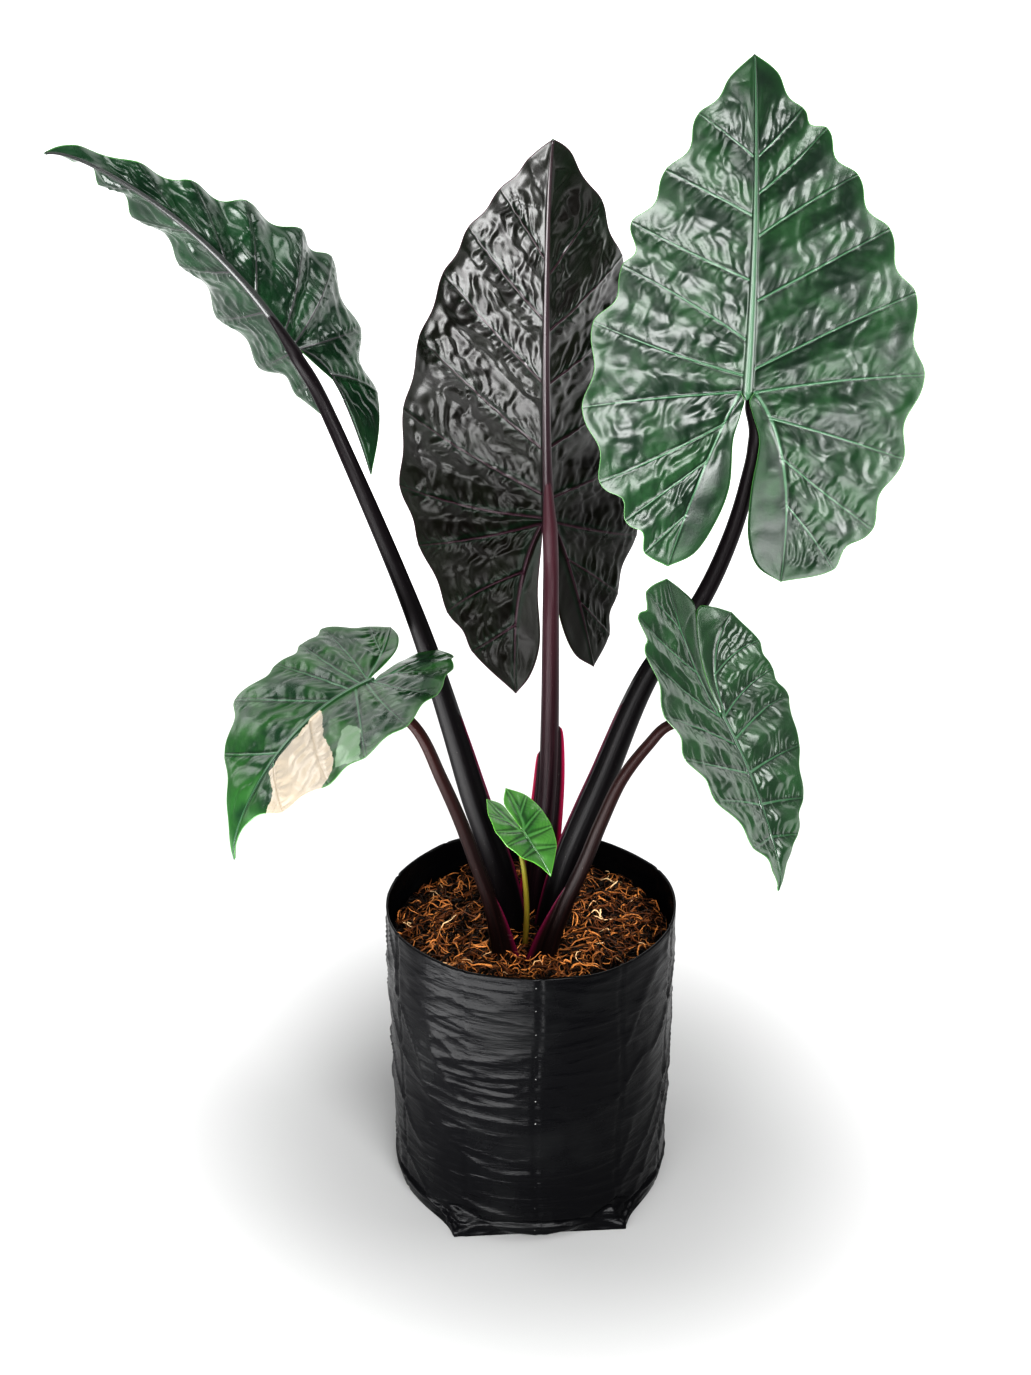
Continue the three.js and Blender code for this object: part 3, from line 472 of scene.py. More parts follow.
def rib_depth(leaf, v):
    """The midrib is thin at the tip, half as deep as the stalk before it, and swells to it at the junction"""
    swelling = RIB_SWELLING * np.exp(-np.maximum(v, 0) / (RIB_SWELLING_REACH * leaf["length"]))
    share = np.clip(1 - v / leaf["length"], 0, 1)
    return leaf["rib_depth"] * (mix(RIB_TIP_DEPTH, RIB_MIDDLE_DEPTH, share) + swelling)


# Rows of points on one half of a blade

def shares_between(width, step):
    """Shares of the way from one vein to the next, closer together beside the veins"""
    beside = np.array(VEIN_ROWS)
    beside = beside[beside < 0.3 * width]
    last = beside[-1] if len(beside) else 0
    count = max(1, round((width / 2 - last) / step))
    middle = last + (width / 2 - last) * np.arange(1, count + 1) / count
    first_half = np.concatenate([[0], beside, middle]) / width
    return np.concatenate([first_half, 1 - first_half[-2:0:-1]])


def lobe_curve(half, start):
    """The rib of a lobe, from the side of the midrib to the lobe's tip, and its length"""
    bend, tip = np.array(half["lobe_bend"], float), np.array(half["lobe_tip"], float)

    def at(share):
        share = np.asarray(share, float)[..., None]
        return (1 - share) ** 2 * np.array([start, 0]) + 2 * share * (1 - share) * bend + share ** 2 * tip

    return at, np.linalg.norm(np.diff(at(np.linspace(0, 1, 201)), axis=0), axis=1).sum()


def inside_part(half, start, feet, bulge, lobe_share, lobe_length):
    """The grid between a lobe's rib and the gap between the lobes, with its distances"""
    inner = spline([(start, 0)] + half["sinus"] + [half["lobe_tip"]])
    x = (np.arange(1, INNER_COLUMNS + 1) / INNER_COLUMNS)[None]
    way = (inner(lobe_share * (len(half["sinus"]) + 1)) - feet)[:, None, :]
    width = np.linalg.norm(way, axis=-1)
    shape = (len(feet), INNER_COLUMNS)
    far = np.full(shape, FAR)
    return {
        "flat": feet[:, None, :] + way * x[..., None], "w": np.broadcast_to(x, shape),
        "vein": far, "edge": (1 - x) * width, "along": (lobe_share * lobe_length)[:, None] + 0.6 * x * width,
        "centre": far, "panel": np.full(shape, INNER_PANEL),
        "bulge": np.broadcast_to(bulge[:, None], shape) * 0.3,
        "lobe": x * width, "lobe_share": np.broadcast_to(lobe_share[:, None], shape),
    }


def half_layout(leaf, dress, side, half, seed):
    """The outer and the inner grid of one half, with the distances that relief and colour need"""
    veins = half["veins"]
    edge = spline([(0, leaf["length"])] + [vein[1:] for vein in veins] + [half["lobe_tip"]])
    start = float(rib_half(leaf, 0))
    lobe_rib, lobe_length = lobe_curve(half, start)
    roots = np.array([leaf["length"]] + [vein[0] for vein in veins] + [-lobe_length], float)
    last = len(roots) - 1

    def feet_and_ends(place):
        root = np.interp(place, np.arange(len(roots)), roots)
        on_rib = np.stack([rib_half(leaf, root), root], -1)
        foot = np.where((root > 0)[:, None], on_rib, lobe_rib(np.clip(-root / lobe_length, 0, 1)))
        return root, foot, edge(place)

    vein_feet, vein_ends = feet_and_ends(np.arange(last + 1.0))[1:]
    place, keep = [], []
    for k in range(last):
        far = mix(vein_feet[k], vein_ends[k], 0.7) - mix(vein_feet[k + 1], vein_ends[k + 1], 0.7)
        shares = shares_between(max(4, np.linalg.norm(far)), dress["step"])
        shares = shares[1:] if k == 0 else shares
        place.append(k + shares)
        keep.append(np.arange(len(shares)) % 2 == 0)
    place, keep = np.concatenate(place), np.concatenate(keep)
    k = np.floor(place + 1e-9).astype(int)
    share = place - k

    root, foot, end = feet_and_ends(place)
    scalloped = (k > 0) & (k < last - 1)
    origin = np.maximum(root, 0)
    dip = np.minimum(half["scallop"], SCALLOP_SHARE * end[:, 0]) * np.sin(np.pi * share ** 1.25) ** 2
    shift = np.where(scalloped, 1 - dip / np.hypot(end[:, 0], end[:, 1] - origin), 1)
    end = np.stack([end[:, 0] * shift, mix(origin, end[:, 1], shift)], -1)
    length = np.linalg.norm(end - foot, axis=1)
    bulge = np.where(scalloped, np.sin(np.pi * share) ** 2, 0)

    columns = dress["columns"]
    margin = np.minimum(MARGIN_WIDTH, 0.3 * length)[:, None] / length[:, None]
    w = np.linspace(0, 1, columns - 1)[None] * (1 - margin)
    w = np.concatenate([w, 1 - 0.45 * margin, np.ones((len(place), 1))], 1)
    random = np.random.default_rng(seed)
    bows = random.uniform(-VEIN_BOW, VEIN_BOW, last + 1) * (np.arange(last + 1) > 1)
    bow = np.interp(place, np.arange(last + 1), bows)[:, None] * 4 * w * (1 - w)
    way = (end - foot)[:, None, :]
    sideways = np.stack([-way[..., 1], way[..., 0]], -1)
    flat = foot[:, None, :] + way * w[..., None] + sideways * bow[..., None]

    between_feet = vein_feet[k + 1] - vein_feet[k]
    between_ends = vein_ends[k + 1] - vein_ends[k]
    panel = np.linalg.norm(mix(between_feet[:, None, :], between_ends[:, None, :], w[..., None]), axis=-1)
    before = np.where((k >= 2)[:, None], share[:, None] * panel, FAR)
    after = np.where(((k >= 1) & (k < last - 1))[:, None], (1 - share)[:, None] * panel, FAR)
    vein = np.minimum(before, after)
    centre_line = np.where((np.maximum(before, after) < FAR), np.abs(share[:, None] - 0.5) * panel, FAR)

    edge_way = unit(np.gradient(end, axis=0))
    lean = np.abs(np.cross(unit(end - foot), edge_way)).clip(0.3, 1)[:, None]
    to_edge = (1 - w) * length[:, None] * lean
    along_vein = w * length[:, None]
    outer = {
        "flat": flat, "w": np.broadcast_to(w, flat.shape[:2]), "vein": vein, "edge": to_edge,
        "along": along_vein, "centre": centre_line, "panel": panel,
        "bulge": np.broadcast_to(bulge[:, None], flat.shape[:2]),
        "lobe": np.where((root < 0)[:, None], along_vein * 0.8, FAR),
        "lobe_share": np.broadcast_to(np.clip(-root / lobe_length, 0, 1)[:, None], flat.shape[:2]),
    }

    behind = root < 0
    lobe_share = np.clip(-root[behind] / lobe_length, 0, 1)
    inside = inside_part(half, start, foot[behind], bulge[behind], lobe_share, lobe_length)
    return {"side": side, "outer": outer, "inside": inside, "keep": keep, "root": root, "tip": half["lobe_tip"],
            "first_inner": int(np.argmax(behind))}


# Relief, in mm along the upper face's normal

def relief(leaf, dress, part, seed, settings):
    """How far both faces, the upper face and the under face rise, and the phase of the side creases"""
    u, v = part["flat"][..., 0], part["flat"][..., 1]
    w, vein, along, panel = part["w"], part["vein"], part["along"], part["panel"]
    size = dress["cells"]
    inside_edge = smooth(part["edge"] / (0.8 * size))
    off_rib = smooth(np.minimum(along, part["lobe"]) / (0.6 * size))
    room = np.clip(panel / 22, 0.25, 1) * inside_edge * off_rib
    both = part["bulge"] * (leaf["quilt"] * np.sin(np.pi * w ** 0.8) + leaf["wave"] * w * w)

    wander = 0.55 * noise(u / 15, v / 15, seed) + 0.25 * noise(u / 6, v / 6, seed + 1)
    beside = np.minimum(vein, 0.5 * panel)
    phase = (along - 0.8 * beside) / (0.55 * size) + wander
    pucker = settings.pucker_height / MM * dress["pucker"]
    strength = 0.75 + 0.45 * noise(u / 14, v / 14, seed + 2)
    short = bell(np.maximum(vein - 0.35 * size, 0), 0.5 * size) * smooth((vein - 0.6) / 2.4)
    both = both + CREASE_HEIGHT * pucker * (np.abs(np.sin(np.pi * phase)) ** 0.75 - 0.6) * strength * short * room

    broad = (along - 0.5 * beside) / (1.7 * size) + 1.2 * wander
    both = both + BROAD_HEIGHT * pucker * np.sin(2 * np.pi * broad) * bell(vein - 0.28 * panel, 0.3 * panel) * room

    ragged = part["centre"] + 3.6 * noise(along / 11, np.zeros_like(along) + seed, seed + 3)
    both = both + RAGGED_HEIGHT * pucker * bell(ragged, 2.4) * room * smooth(part["edge"] / 18)

    shift = 0.8 * noise(u / 19, v / 19, seed + 6)
    folds = np.abs(noise(u / 16 + shift, v / 16 - shift, seed + 4))
    both = both - pucker * (1 - folds) ** 4 * room * smooth(vein / 4)
    swell = SWELL_HEIGHT * noise(u / 18, v / 18, seed + 5) + SMALL_SWELL_HEIGHT * noise(u / 7, v / 7, seed + 7)
    both = both + pucker * swell * smooth(part["edge"] / 9) * smooth(np.minimum(vein, along) / 3)

    taper = 1 - 0.65 * w
    lobe_taper = 1 - 0.7 * part["lobe_share"]
    height = settings.vein_height / MM * leaf["rib_depth"] ** 0.5 / 2.8
    groove = bell(vein, GROOVE_WIDTH) * taper + bell(part["lobe"], LOBE_GROOVE_WIDTH) * lobe_taper
    ridge = bell(vein, RIDGE_WIDTH) * taper + 1.3 * bell(part["lobe"], LOBE_RIDGE_WIDTH) * lobe_taper
    upper = height * (RIDGE_HEIGHT * ridge - groove)
    under_veins = UNDER_VEIN_HEIGHT * bell(vein, 1.0) * taper
    under_lobe = UNDER_LOBE_HEIGHT * bell(part["lobe"], 1.5) * lobe_taper
    return both, upper, -height * (under_veins + under_lobe), phase


def line_widths(part):
    """Distance from the nearest drawn vein, as a share of that vein's half width"""
    vein = part["vein"] / mix(0.75, 0.3, part["w"])
    lobe = part["lobe"] / mix(1.3, 0.4, part["lobe_share"])
    return np.minimum(vein, lobe)


def patch_distance(flat, outline):
    """Distance in mm to a closed outline, positive inside it"""
    outline = np.array(outline, float)
    inside = np.zeros(len(flat), bool)
    nearest = np.full(len(flat), np.inf)
    for a, b in zip(outline, np.roll(outline, -1, axis=0)):
        way = b - a
        share = np.clip(((flat - a) @ way) / (way @ way), 0, 1)
        nearest = np.minimum(nearest, np.linalg.norm(flat - a - share[:, None] * way, axis=1))
        crosses = (a[1] > flat[:, 1]) != (b[1] > flat[:, 1])
        at = a[0] + (flat[:, 1] - a[1]) / (way[1] if way[1] else 1e-9) * way[0]
        inside ^= crosses & (flat[:, 0] < at)
    return np.where(inside, nearest, -nearest)


class Sheet:
    """All points of a blade as one list, and the faces that join a choice of its rows and columns"""

    FIELDS = ("both", "upper", "under", "line", "edge", "phase", "rib", "along", "vein")

    def __init__(self, leaf, dress, settings, seed):
        self.leaf = leaf
        self.halves = []
        self.count = 0
        for name in ("flat", "side", *self.FIELDS):
            setattr(self, name, [])
        for number, (side, key) in enumerate([(1, "right"), (-1, "left")]):
            layout = half_layout(leaf, dress, side, leaf[key], seed + 10 * number)
            for part in ("outer", "inside"):
                table = layout[part]
                both, upper, under, phase = relief(leaf, dress, table, seed + 10 * number, settings)
                layout[part + "_points"] = self.add(
                    table["flat"], side, both, upper, under, line_widths(table), table["edge"], phase,
                    np.zeros_like(both), table["along"], table["vein"])
            layout["tip_point"] = self.add_one(layout["tip"], side)
            self.halves.append(layout)
        self.add_rib(dress)
        self.tip = self.add_one((0, leaf["length"]), 1)
        for name in ("flat", "side", *self.FIELDS):
            setattr(self, name, np.concatenate(getattr(self, name)))
        spines = (walk_spine(leaf, True), walk_spine(leaf, False))
        self.middle = place_on(leaf, spines, self.side, self.flat[:, 0], self.flat[:, 1])

    def add(self, flat, side, *fields):
        """Adds a table of flat points with a value or a table for each field, and gives their numbers"""
        shape = flat.shape[:-1]
        points = np.arange(int(np.prod(shape))).reshape(shape) + self.count
        self.count += points.size
        self.flat.append(flat.reshape(-1, 2))
        self.side.append(np.full(points.size, side, float))
        for name, values in zip(self.FIELDS, fields):
            getattr(self, name).append(np.broadcast_to(values, shape).reshape(-1).astype(float))
        return points

    def add_one(self, flat, side):
        """Adds the tip of the blade or of a lobe"""
        point = self.add(np.array([flat], float), side, 0, 0, 0, 3, 0, 0, 0, 20, 20)
        return int(point[0])

    def add_rib(self, dress):
        """Adds the midrib: stations closer together at the stalk, and columns from its crest to its flanks"""
        leaf = self.leaf
        count = int(leaf["length"] / dress["step"])
        v = leaf["length"] * (1 - np.arange(1, count + 1) / count) ** 1.15
        shares = np.array(RIB_COLUMNS)
        profile = np.sqrt(1 - shares ** 2)
        crest = RIB_CREST * smooth((1.02 - shares) / 0.45) * mix(0.35, 1, 1 - v / leaf["length"])[:, None]
        depth = -rib_depth(leaf, v)[:, None] * profile[None]
        self.rib_places = v
        self.rib_columns = {}
        for side in (1, -1):
            chosen = slice(0, None) if side > 0 else slice(1, None)
            part = shares[None, chosen]
            u = rib_half(leaf, v)[:, None] * part
            nose = np.where(v[:, None] == 0, RIB_NOSE * leaf["rib"] * (1 - part), 0)
            flat = np.stack([u, v[:, None] - nose], -1)
            rib = (1 - smooth((part - 0.35) / 0.3)) * smooth((0.97 - v / leaf["length"]) / 0.07)[:, None]
            grid = self.add(flat, side, 0, crest[:, chosen], depth[:, chosen], part * 2, 30, 0, rib, v[:, None], 0)
            self.rib_columns[side] = grid
        middle = self.rib_columns[1][:, :1]
        self.rib_columns[-1] = np.concatenate([middle, self.rib_columns[-1]], 1)

    def faces(self, step):
        """The faces with every row and column at step 1, every second at step 2, and the points of the edge"""
        quads, triangles, edges = [], [], {}
        stations = np.arange(len(self.rib_places))
        stations = stations[(len(stations) - 1 - stations) % step == 0]
        columns_kept = [0, 2, 4] if step > 1 else [0, 1, 2, 3, 4]
        for layout in self.halves:
            side = layout["side"]
            outer, inside = layout["outer_points"], layout["inside_points"]
            rows = np.arange(len(outer))
            if step > 1:
                zero = layout["first_inner"] - 1
                rows = rows[layout["keep"] | (rows == zero) | (rows == rows[-1])]
            columns = np.unique(np.append(np.arange(0, outer.shape[1], step), outer.shape[1] - 1))
            grid = outer[rows][:, columns]
            q = [np.stack([grid[:-1, 1:], grid[:-1, :-1], grid[1:, :-1], grid[1:, 1:]], -1).reshape(-1, 4)]
            t = [np.stack([np.full(len(columns) - 1, self.tip), grid[0, :-1], grid[0, 1:]], -1)]
            lobe = np.full(len(columns) - 1, layout["tip_point"])
            t.append(np.stack([grid[-1, 1:], grid[-1, :-1], lobe], -1))
            inner_rows = rows[rows >= layout["first_inner"]]
            inner_columns = np.unique(np.append(np.arange(step - 1, inside.shape[1], step), inside.shape[1] - 1))
            lines = inside[inner_rows - layout["first_inner"]][:, inner_columns]
            lines = np.concatenate([outer[inner_rows][:, :1], lines], 1)
            q.append(np.stack([lines[:-1, :-1], lines[:-1, 1:], lines[1:, 1:], lines[1:, :-1]], -1).reshape(-1, 4))
            foot = outer[layout["first_inner"] - 1, 0]
            t.append(np.stack([np.full(lines.shape[1] - 1, foot), lines[0, 1:], lines[0, :-1]], -1))
            lobe = np.full(lines.shape[1] - 1, layout["tip_point"])
            t.append(np.stack([lines[-1, :-1], lines[-1, 1:], lobe], -1))

            rib = self.rib_columns[side][stations][:, columns_kept]
            q.append(np.stack([rib[:-1, :-1], rib[1:, :-1], rib[1:, 1:], rib[:-1, 1:]], -1).reshape(-1, 4))
            t.append(np.stack([np.full(rib.shape[1] - 1, self.tip), rib[0, :-1], rib[0, 1:]], -1))
            ahead = rows[rows < layout["first_inner"]]
            flank, root = outer[ahead, 0], layout["root"][ahead]
            t.append(np.array([[self.tip, rib[0, -1], flank[0]]]))
            t.append(zip_faces(rib[:, -1], flank, -self.rib_places[stations], -root))
            for faces, store in ((q, quads), (t, triangles)):
                joined = np.concatenate(faces)
                store.append(joined if side > 0 else joined[:, ::-1])
            edges[side] = [grid[:, -1], np.array([layout["tip_point"]]), lines[::-1, -1], np.array([foot])]
        rib_end = [self.rib_columns[1][-1][columns_kept][::-1], self.rib_columns[-1][-1][columns_kept][1:]]
        left = [part[::-1] for part in edges[-1][::-1]]
        loop = np.concatenate([[self.tip], *edges[1], *rib_end, *left])
        return np.concatenate(quads), np.concatenate(triangles), loop


def vertex_normals(points, quads, triangles):
    """The normals of a mesh at its points, weighted by the area of their faces"""
    normals = np.zeros_like(points)
    split = np.concatenate([quads[:, [0, 1, 2]], quads[:, [0, 2, 3]], triangles])
    a, b, c = points[split[:, 0]], points[split[:, 1]], points[split[:, 2]]
    face = np.cross(b - a, c - a)
    for corner in range(3):
        np.add.at(normals, split[:, corner], face)
    return normals / np.maximum(np.linalg.norm(normals, axis=1, keepdims=True), 1e-12)


def make_leaf(name, settings, seed):
    """One blade as a closed mesh: the face towards the viewer fine, the other with half the rows"""
    leaf, dress = LEAVES[name], DRESS[name]
    sheet = Sheet(leaf, dress, settings, seed)
    fine, coarse = sheet.faces(1), sheet.faces(2)
    normals = vertex_normals(sheet.middle, fine[0], fine[1])
    thin = settings.thickness / MM / 2 * mix(EDGE_SHARE, 1, smooth(sheet.edge / EDGE_TAPER))
    front_shift = sheet.both + thin + sheet.upper
    back_shift = sheet.both - thin + sheet.under
    deeper = COARSE_DEPTH * smooth(sheet.edge / COARSE_START)
    if dress["fine"] > 0:
        upper, under, back_shift = fine, coarse, back_shift - deeper
    else:
        upper, under, front_shift = coarse, fine, front_shift + deeper
    order = np.full(sheet.count, -1.0)
    order[fine[2]] = np.arange(len(fine[2]))

    points, faces, materials, chosen = [], [], [], []
    ids = {}
    start = 0
    for face, (quads, triangles, _), shift in ((0, upper, front_shift), (1, under, back_shift)):
        used = np.unique(np.concatenate([quads.ravel(), triangles.ravel()]))
        index = np.full(sheet.count, -1)
        index[used] = np.arange(len(used)) + start
        ids[face] = index
        start += len(used)
        chosen.append(used)
        points.append((sheet.middle + normals * shift[:, None])[used])
        turn = 1 if face == 0 else -1
        faces += index[quads][:, ::turn].tolist() + index[triangles][:, ::turn].tolist()
        materials += [face] * (len(quads) + len(triangles))
    loops = [np.append(part[2], part[2][0]) for part in (upper, under)]
    places = [np.append(order[part[2]], len(fine[2])) for part in (upper, under)]
    front, back = ids[0][loops[0]], ids[1][loops[1]]
    wall = zip_faces(front, back, *places)
    faces += wall.tolist()
    materials += [0] * len(wall)

    chosen = np.concatenate(chosen)
    flat = np.stack([sheet.flat[:, 0] * sheet.side, sheet.flat[:, 1], sheet.side * 50.0], -1)
    attributes = {
        "line": sheet.line[chosen], "edge": sheet.edge[chosen], "phase": sheet.phase[chosen],
        "rib": sheet.rib[chosen], "along": sheet.along[chosen], "vein": sheet.vein[chosen], "flat": flat[chosen],
    }
    if name == "left_low":
        for label, outline in (("cream", CREAM_PATCH), ("mint", MINT_HIGHLIGHT_PATCH)):
            distance = patch_distance(sheet.flat, outline)
            attributes[label] = np.where(sheet.side < 0, distance, -20)[chosen]
    return make_object(f"blade_{name}", np.concatenate(points) * MM, faces, materials, attributes)


# Shader nodes

def node(tree, kind, inputs=None, **settings):
    """Adds a node, sets it, and fills its inputs with values or with other nodes' outputs"""
    made = tree.nodes.new(kind)
    for name, value in settings.items():
        setattr(made, name, value)
    for key, value in (inputs or {}).items():
        if isinstance(value, bpy.types.NodeSocket):
            tree.links.new(value, made.inputs[key])
        else:
            made.inputs[key].default_value = value
    return made


def calc(tree, operation, *values):
    """A math node for values or for other nodes' outputs"""
    return node(tree, "ShaderNodeMath", dict(enumerate(values)), operation=operation).outputs[0]


def band(tree, value, low, high, to_low=0.0, to_high=1.0):
    """A soft step from one value to another"""
    inputs = {0: value, 1: low, 2: high, 3: to_low, 4: to_high}
    return node(tree, "ShaderNodeMapRange", inputs, interpolation_type="SMOOTHSTEP").outputs[0]


def tinted(tree, share, first, second):
    """A mix of two colours"""
    inputs = {0: share, 6: colour_of(first), 7: colour_of(second)}
    return node(tree, "ShaderNodeMix", inputs, data_type="RGBA").outputs[2]


def colour_of(value):
    return value if isinstance(value, bpy.types.NodeSocket) else (*value[:3], 1)


def attribute(tree, name, output="Fac"):
    return node(tree, "ShaderNodeAttribute", attribute_name=name).outputs[output]


def cloud(tree, scale, place, detail=3.0, stretch=None, roughness=0.55):
    """Noise from 0 to 1, at a scale in lumps for each metre or mm of the place it is given"""
    if stretch is not None:
        place = node(tree, "ShaderNodeMapping", {"Vector": place, "Scale": stretch}).outputs[0]
    inputs = {"Vector": place, "Scale": scale, "Detail": detail, "Roughness": roughness}
    return node(tree, "ShaderNodeTexNoise", inputs).outputs[0]


def object_place(tree):
    return node(tree, "ShaderNodeTexCoord").outputs["Object"]


def new_group(name, inputs, outputs):
    """A shader node group with named inputs and outputs"""
    tree = bpy.data.node_groups.new(name, "ShaderNodeTree")
    for label, default in inputs.items():
        socket = tree.interface.new_socket(label, in_out="INPUT", socket_type="NodeSocketFloat")
        socket.default_value = default
    for label in outputs:
        tree.interface.new_socket(label, in_out="OUTPUT", socket_type="NodeSocketFloat")
    return tree, node(tree, "NodeGroupInput"), node(tree, "NodeGroupOutput")


def put_out(tree, made, **values):
    """Links values to the outputs of a group"""
    for label, value in values.items():
        tree.links.new(value, made.inputs[label])
    return tree


def leaf_pattern_group():
    """Masks of a blade: its veins, the painted shade beside them, its side creases, its margin, mottling and a fine
    skin
    """
    tree, given, made = new_group("Leaf pattern", {"Vein width": 1.0, "Margin": 0.8, "Crease": 1.0},
                                  ["Vein", "Beside", "Crease", "Margin", "Mottle", "Skin"])
    place = attribute(tree, "flat", "Vector")
    line = calc(tree, "DIVIDE", attribute(tree, "line"), given.outputs["Vein width"])
    rib = attribute(tree, "rib")
    vein = calc(tree, "MAXIMUM", band(tree, line, 1.25, 0.6), rib)
    # painted shade: a band a little way out from each vein, where the groove beside it lies
    beside = calc(tree, "MULTIPLY", band(tree, line, 1.2, 2.0), band(tree, line, 5.5, 2.8))
    phase = attribute(tree, "phase")
    nearest = calc(tree, "ABSOLUTE", calc(tree, "SUBTRACT", phase, calc(tree, "ROUND", phase)))
    near_vein = band(tree, attribute(tree, "vein"), 9, 3)
    crease = calc(tree, "MULTIPLY", band(tree, nearest, 0.12, 0.02), band(tree, attribute(tree, "along"), 3, 9))
    crease = calc(tree, "MULTIPLY", crease, near_vein)
    crease = calc(tree, "MULTIPLY", crease, given.outputs["Crease"])
    margin = band(tree, calc(tree, "DIVIDE", attribute(tree, "edge"), given.outputs["Margin"]), 1.2, 0.5)
    mottle = cloud(tree, 0.045, place, 4)
    skin = cloud(tree, 1.6, place, 5, roughness=0.7)
    fine = cloud(tree, 0.5, place, 3)
    height = calc(tree, "ADD", calc(tree, "MULTIPLY", skin, 0.35), fine)
    height = calc(tree, "SUBTRACT", height, calc(tree, "MULTIPLY", crease, 0.4))
    return put_out(tree, made, Vein=vein, Beside=beside, Crease=crease, Margin=margin, Mottle=mottle, Skin=height)


def stalk_pattern_group():
    """Masks of a petiole: long streaks, small pale specks, its sheath's edge and a fine skin"""
    tree, given, made = new_group("Stalk pattern", {"Streaks": 1.0}, ["Streak", "Speck", "Sheath", "Skin"])
    place = attribute(tree, "round", "Vector")
    streak = calc(tree, "MULTIPLY", cloud(tree, 1.0, place, 4, (0.9, 0.02, 1)), given.outputs["Streaks"])
    speck = band(tree, cloud(tree, 0.9, place, 1), 0.74, 0.78)
    sheath = attribute(tree, "wing")
    skin = calc(tree, "ADD", streak, calc(tree, "MULTIPLY", cloud(tree, 1.2, place, 4), 0.4))
    return put_out(tree, made, Streak=streak, Speck=speck, Sheath=sheath, Skin=skin)


def placed(tree, group, **values):
    """A node group placed in a material, with its own values"""
    made = node(tree, "ShaderNodeGroup", node_tree=group)
    for label, value in values.items():
        made.inputs[label.replace("_", " ")].default_value = value
    return made.outputs


def new_material(name):
    """An empty material and its node tree"""
    material = bpy.data.materials.new(name)
    material.use_nodes = True
    tree = material.node_tree
    tree.nodes.clear()
    return material, tree


def shaded(tree, inputs, height=None, relief_depth=0.0):
    """Ends a material in a principled shader, with a bump where a height is given"""
    if height is not None:
        bump = node(tree, "ShaderNodeBump", {"Height": height, "Distance": relief_depth, "Strength": 1.0})
        inputs = {**inputs, "Normal": bump.outputs[0]}
    shader = node(tree, "ShaderNodeBsdfPrincipled", inputs)
    node(tree, "ShaderNodeOutputMaterial", {"Surface": shader.outputs[0]})
    return shader


def leaf_material(name, group, deep, fresh, vein, margin, gloss, vein_width=1.0, patches=False, shine=0.5,
                  coated=False):
    """The skin of one face of a blade; a coated one is glossiest towards its tip"""
    material, tree = new_material(name)
    masks = placed(tree, group, Vein_width=vein_width, Margin=0.6, Crease=1.0)
    base = tinted(tree, band(tree, masks["Mottle"], 0.35, 0.7), deep, fresh)
    near_edge = band(tree, attribute(tree, "edge"), 9, 0, 0, 0.55)
    base = tinted(tree, near_edge, base, fresh)
    # painted shade: the side creases are darkened in the colour
    base = tinted(tree, calc(tree, "MULTIPLY", masks["Crease"], 0.3), base, PAINTED_CREASE_SHADE)
    # painted shade: a band beside each vein is darkened in the colour
    base = tinted(tree, calc(tree, "MULTIPLY", masks["Beside"], 0.55), base, PAINTED_SHADE_BESIDE_VEINS)
    fading = band(tree, attribute(tree, "edge"), 4, 38, 0.3, 0.9)
    base = tinted(tree, calc(tree, "MULTIPLY", masks["Vein"], fading), base, vein)
    base = tinted(tree, masks["Margin"], base, margin)
    if patches:
        base = patched(tree, base, masks)
    rough = calc(tree, "ADD", calc(tree, "MULTIPLY", masks["Mottle"], 0.2), gloss)
    inputs = {"Base Color": base, "Roughness": rough, "Specular IOR Level": shine}
    if coated:
        forward = node(tree, "ShaderNodeSeparateXYZ", {0: attribute(tree, "flat", "Vector")}).outputs["Y"]
        inputs["Coat Weight"] = band(tree, forward, -25, 110)
        inputs["Coat Roughness"] = 0.27
    shaded(tree, inputs, masks["Skin"], 0.00007)
    return material


def patched(tree, base, masks):
    """Lays the cream and the mint sectors of a variegated blade over its green; the mint's pale colour is partly a
    painted gloss highlight
    """
    settings = bpy.context.scene.plant_leaves
    place = attribute(tree, "flat", "Vector")
    ragged = calc(tree, "MULTIPLY", calc(tree, "SUBTRACT", cloud(tree, 0.22, place, 3), 0.5), 3.5)
    # the mint sector is a pale green sector whose colour is partly a painted gloss highlight
    for label, colour in (("mint", settings.mint), ("cream", settings.cream)):
        inside = band(tree, calc(tree, "ADD", attribute(tree, label), ragged), -0.3, 0.3)
        faint = calc(tree, "MULTIPLY", masks["Vein"], 0.35)
        toned = tinted(tree, faint, colour, PATCH_VEIN)
        base = tinted(tree, inside, base, toned)
    return base


# Petioles

PETIOLE_STEP, PETIOLE_ANGLE = 2.6, 12.0
PETIOLE_TIP = 0.35               # what is left of a petiole's radius at its end inside a rib
WING_ROOM = 14                   # degrees on each side of a wing that have its own angles
WING_ANGLES = (-13, -9, -6, -3.5, -1.5, 0, 1.5, 3.5, 6, 9, 13)
ASIDE_START, ASIDE_LENGTH = 0.92, 0.05


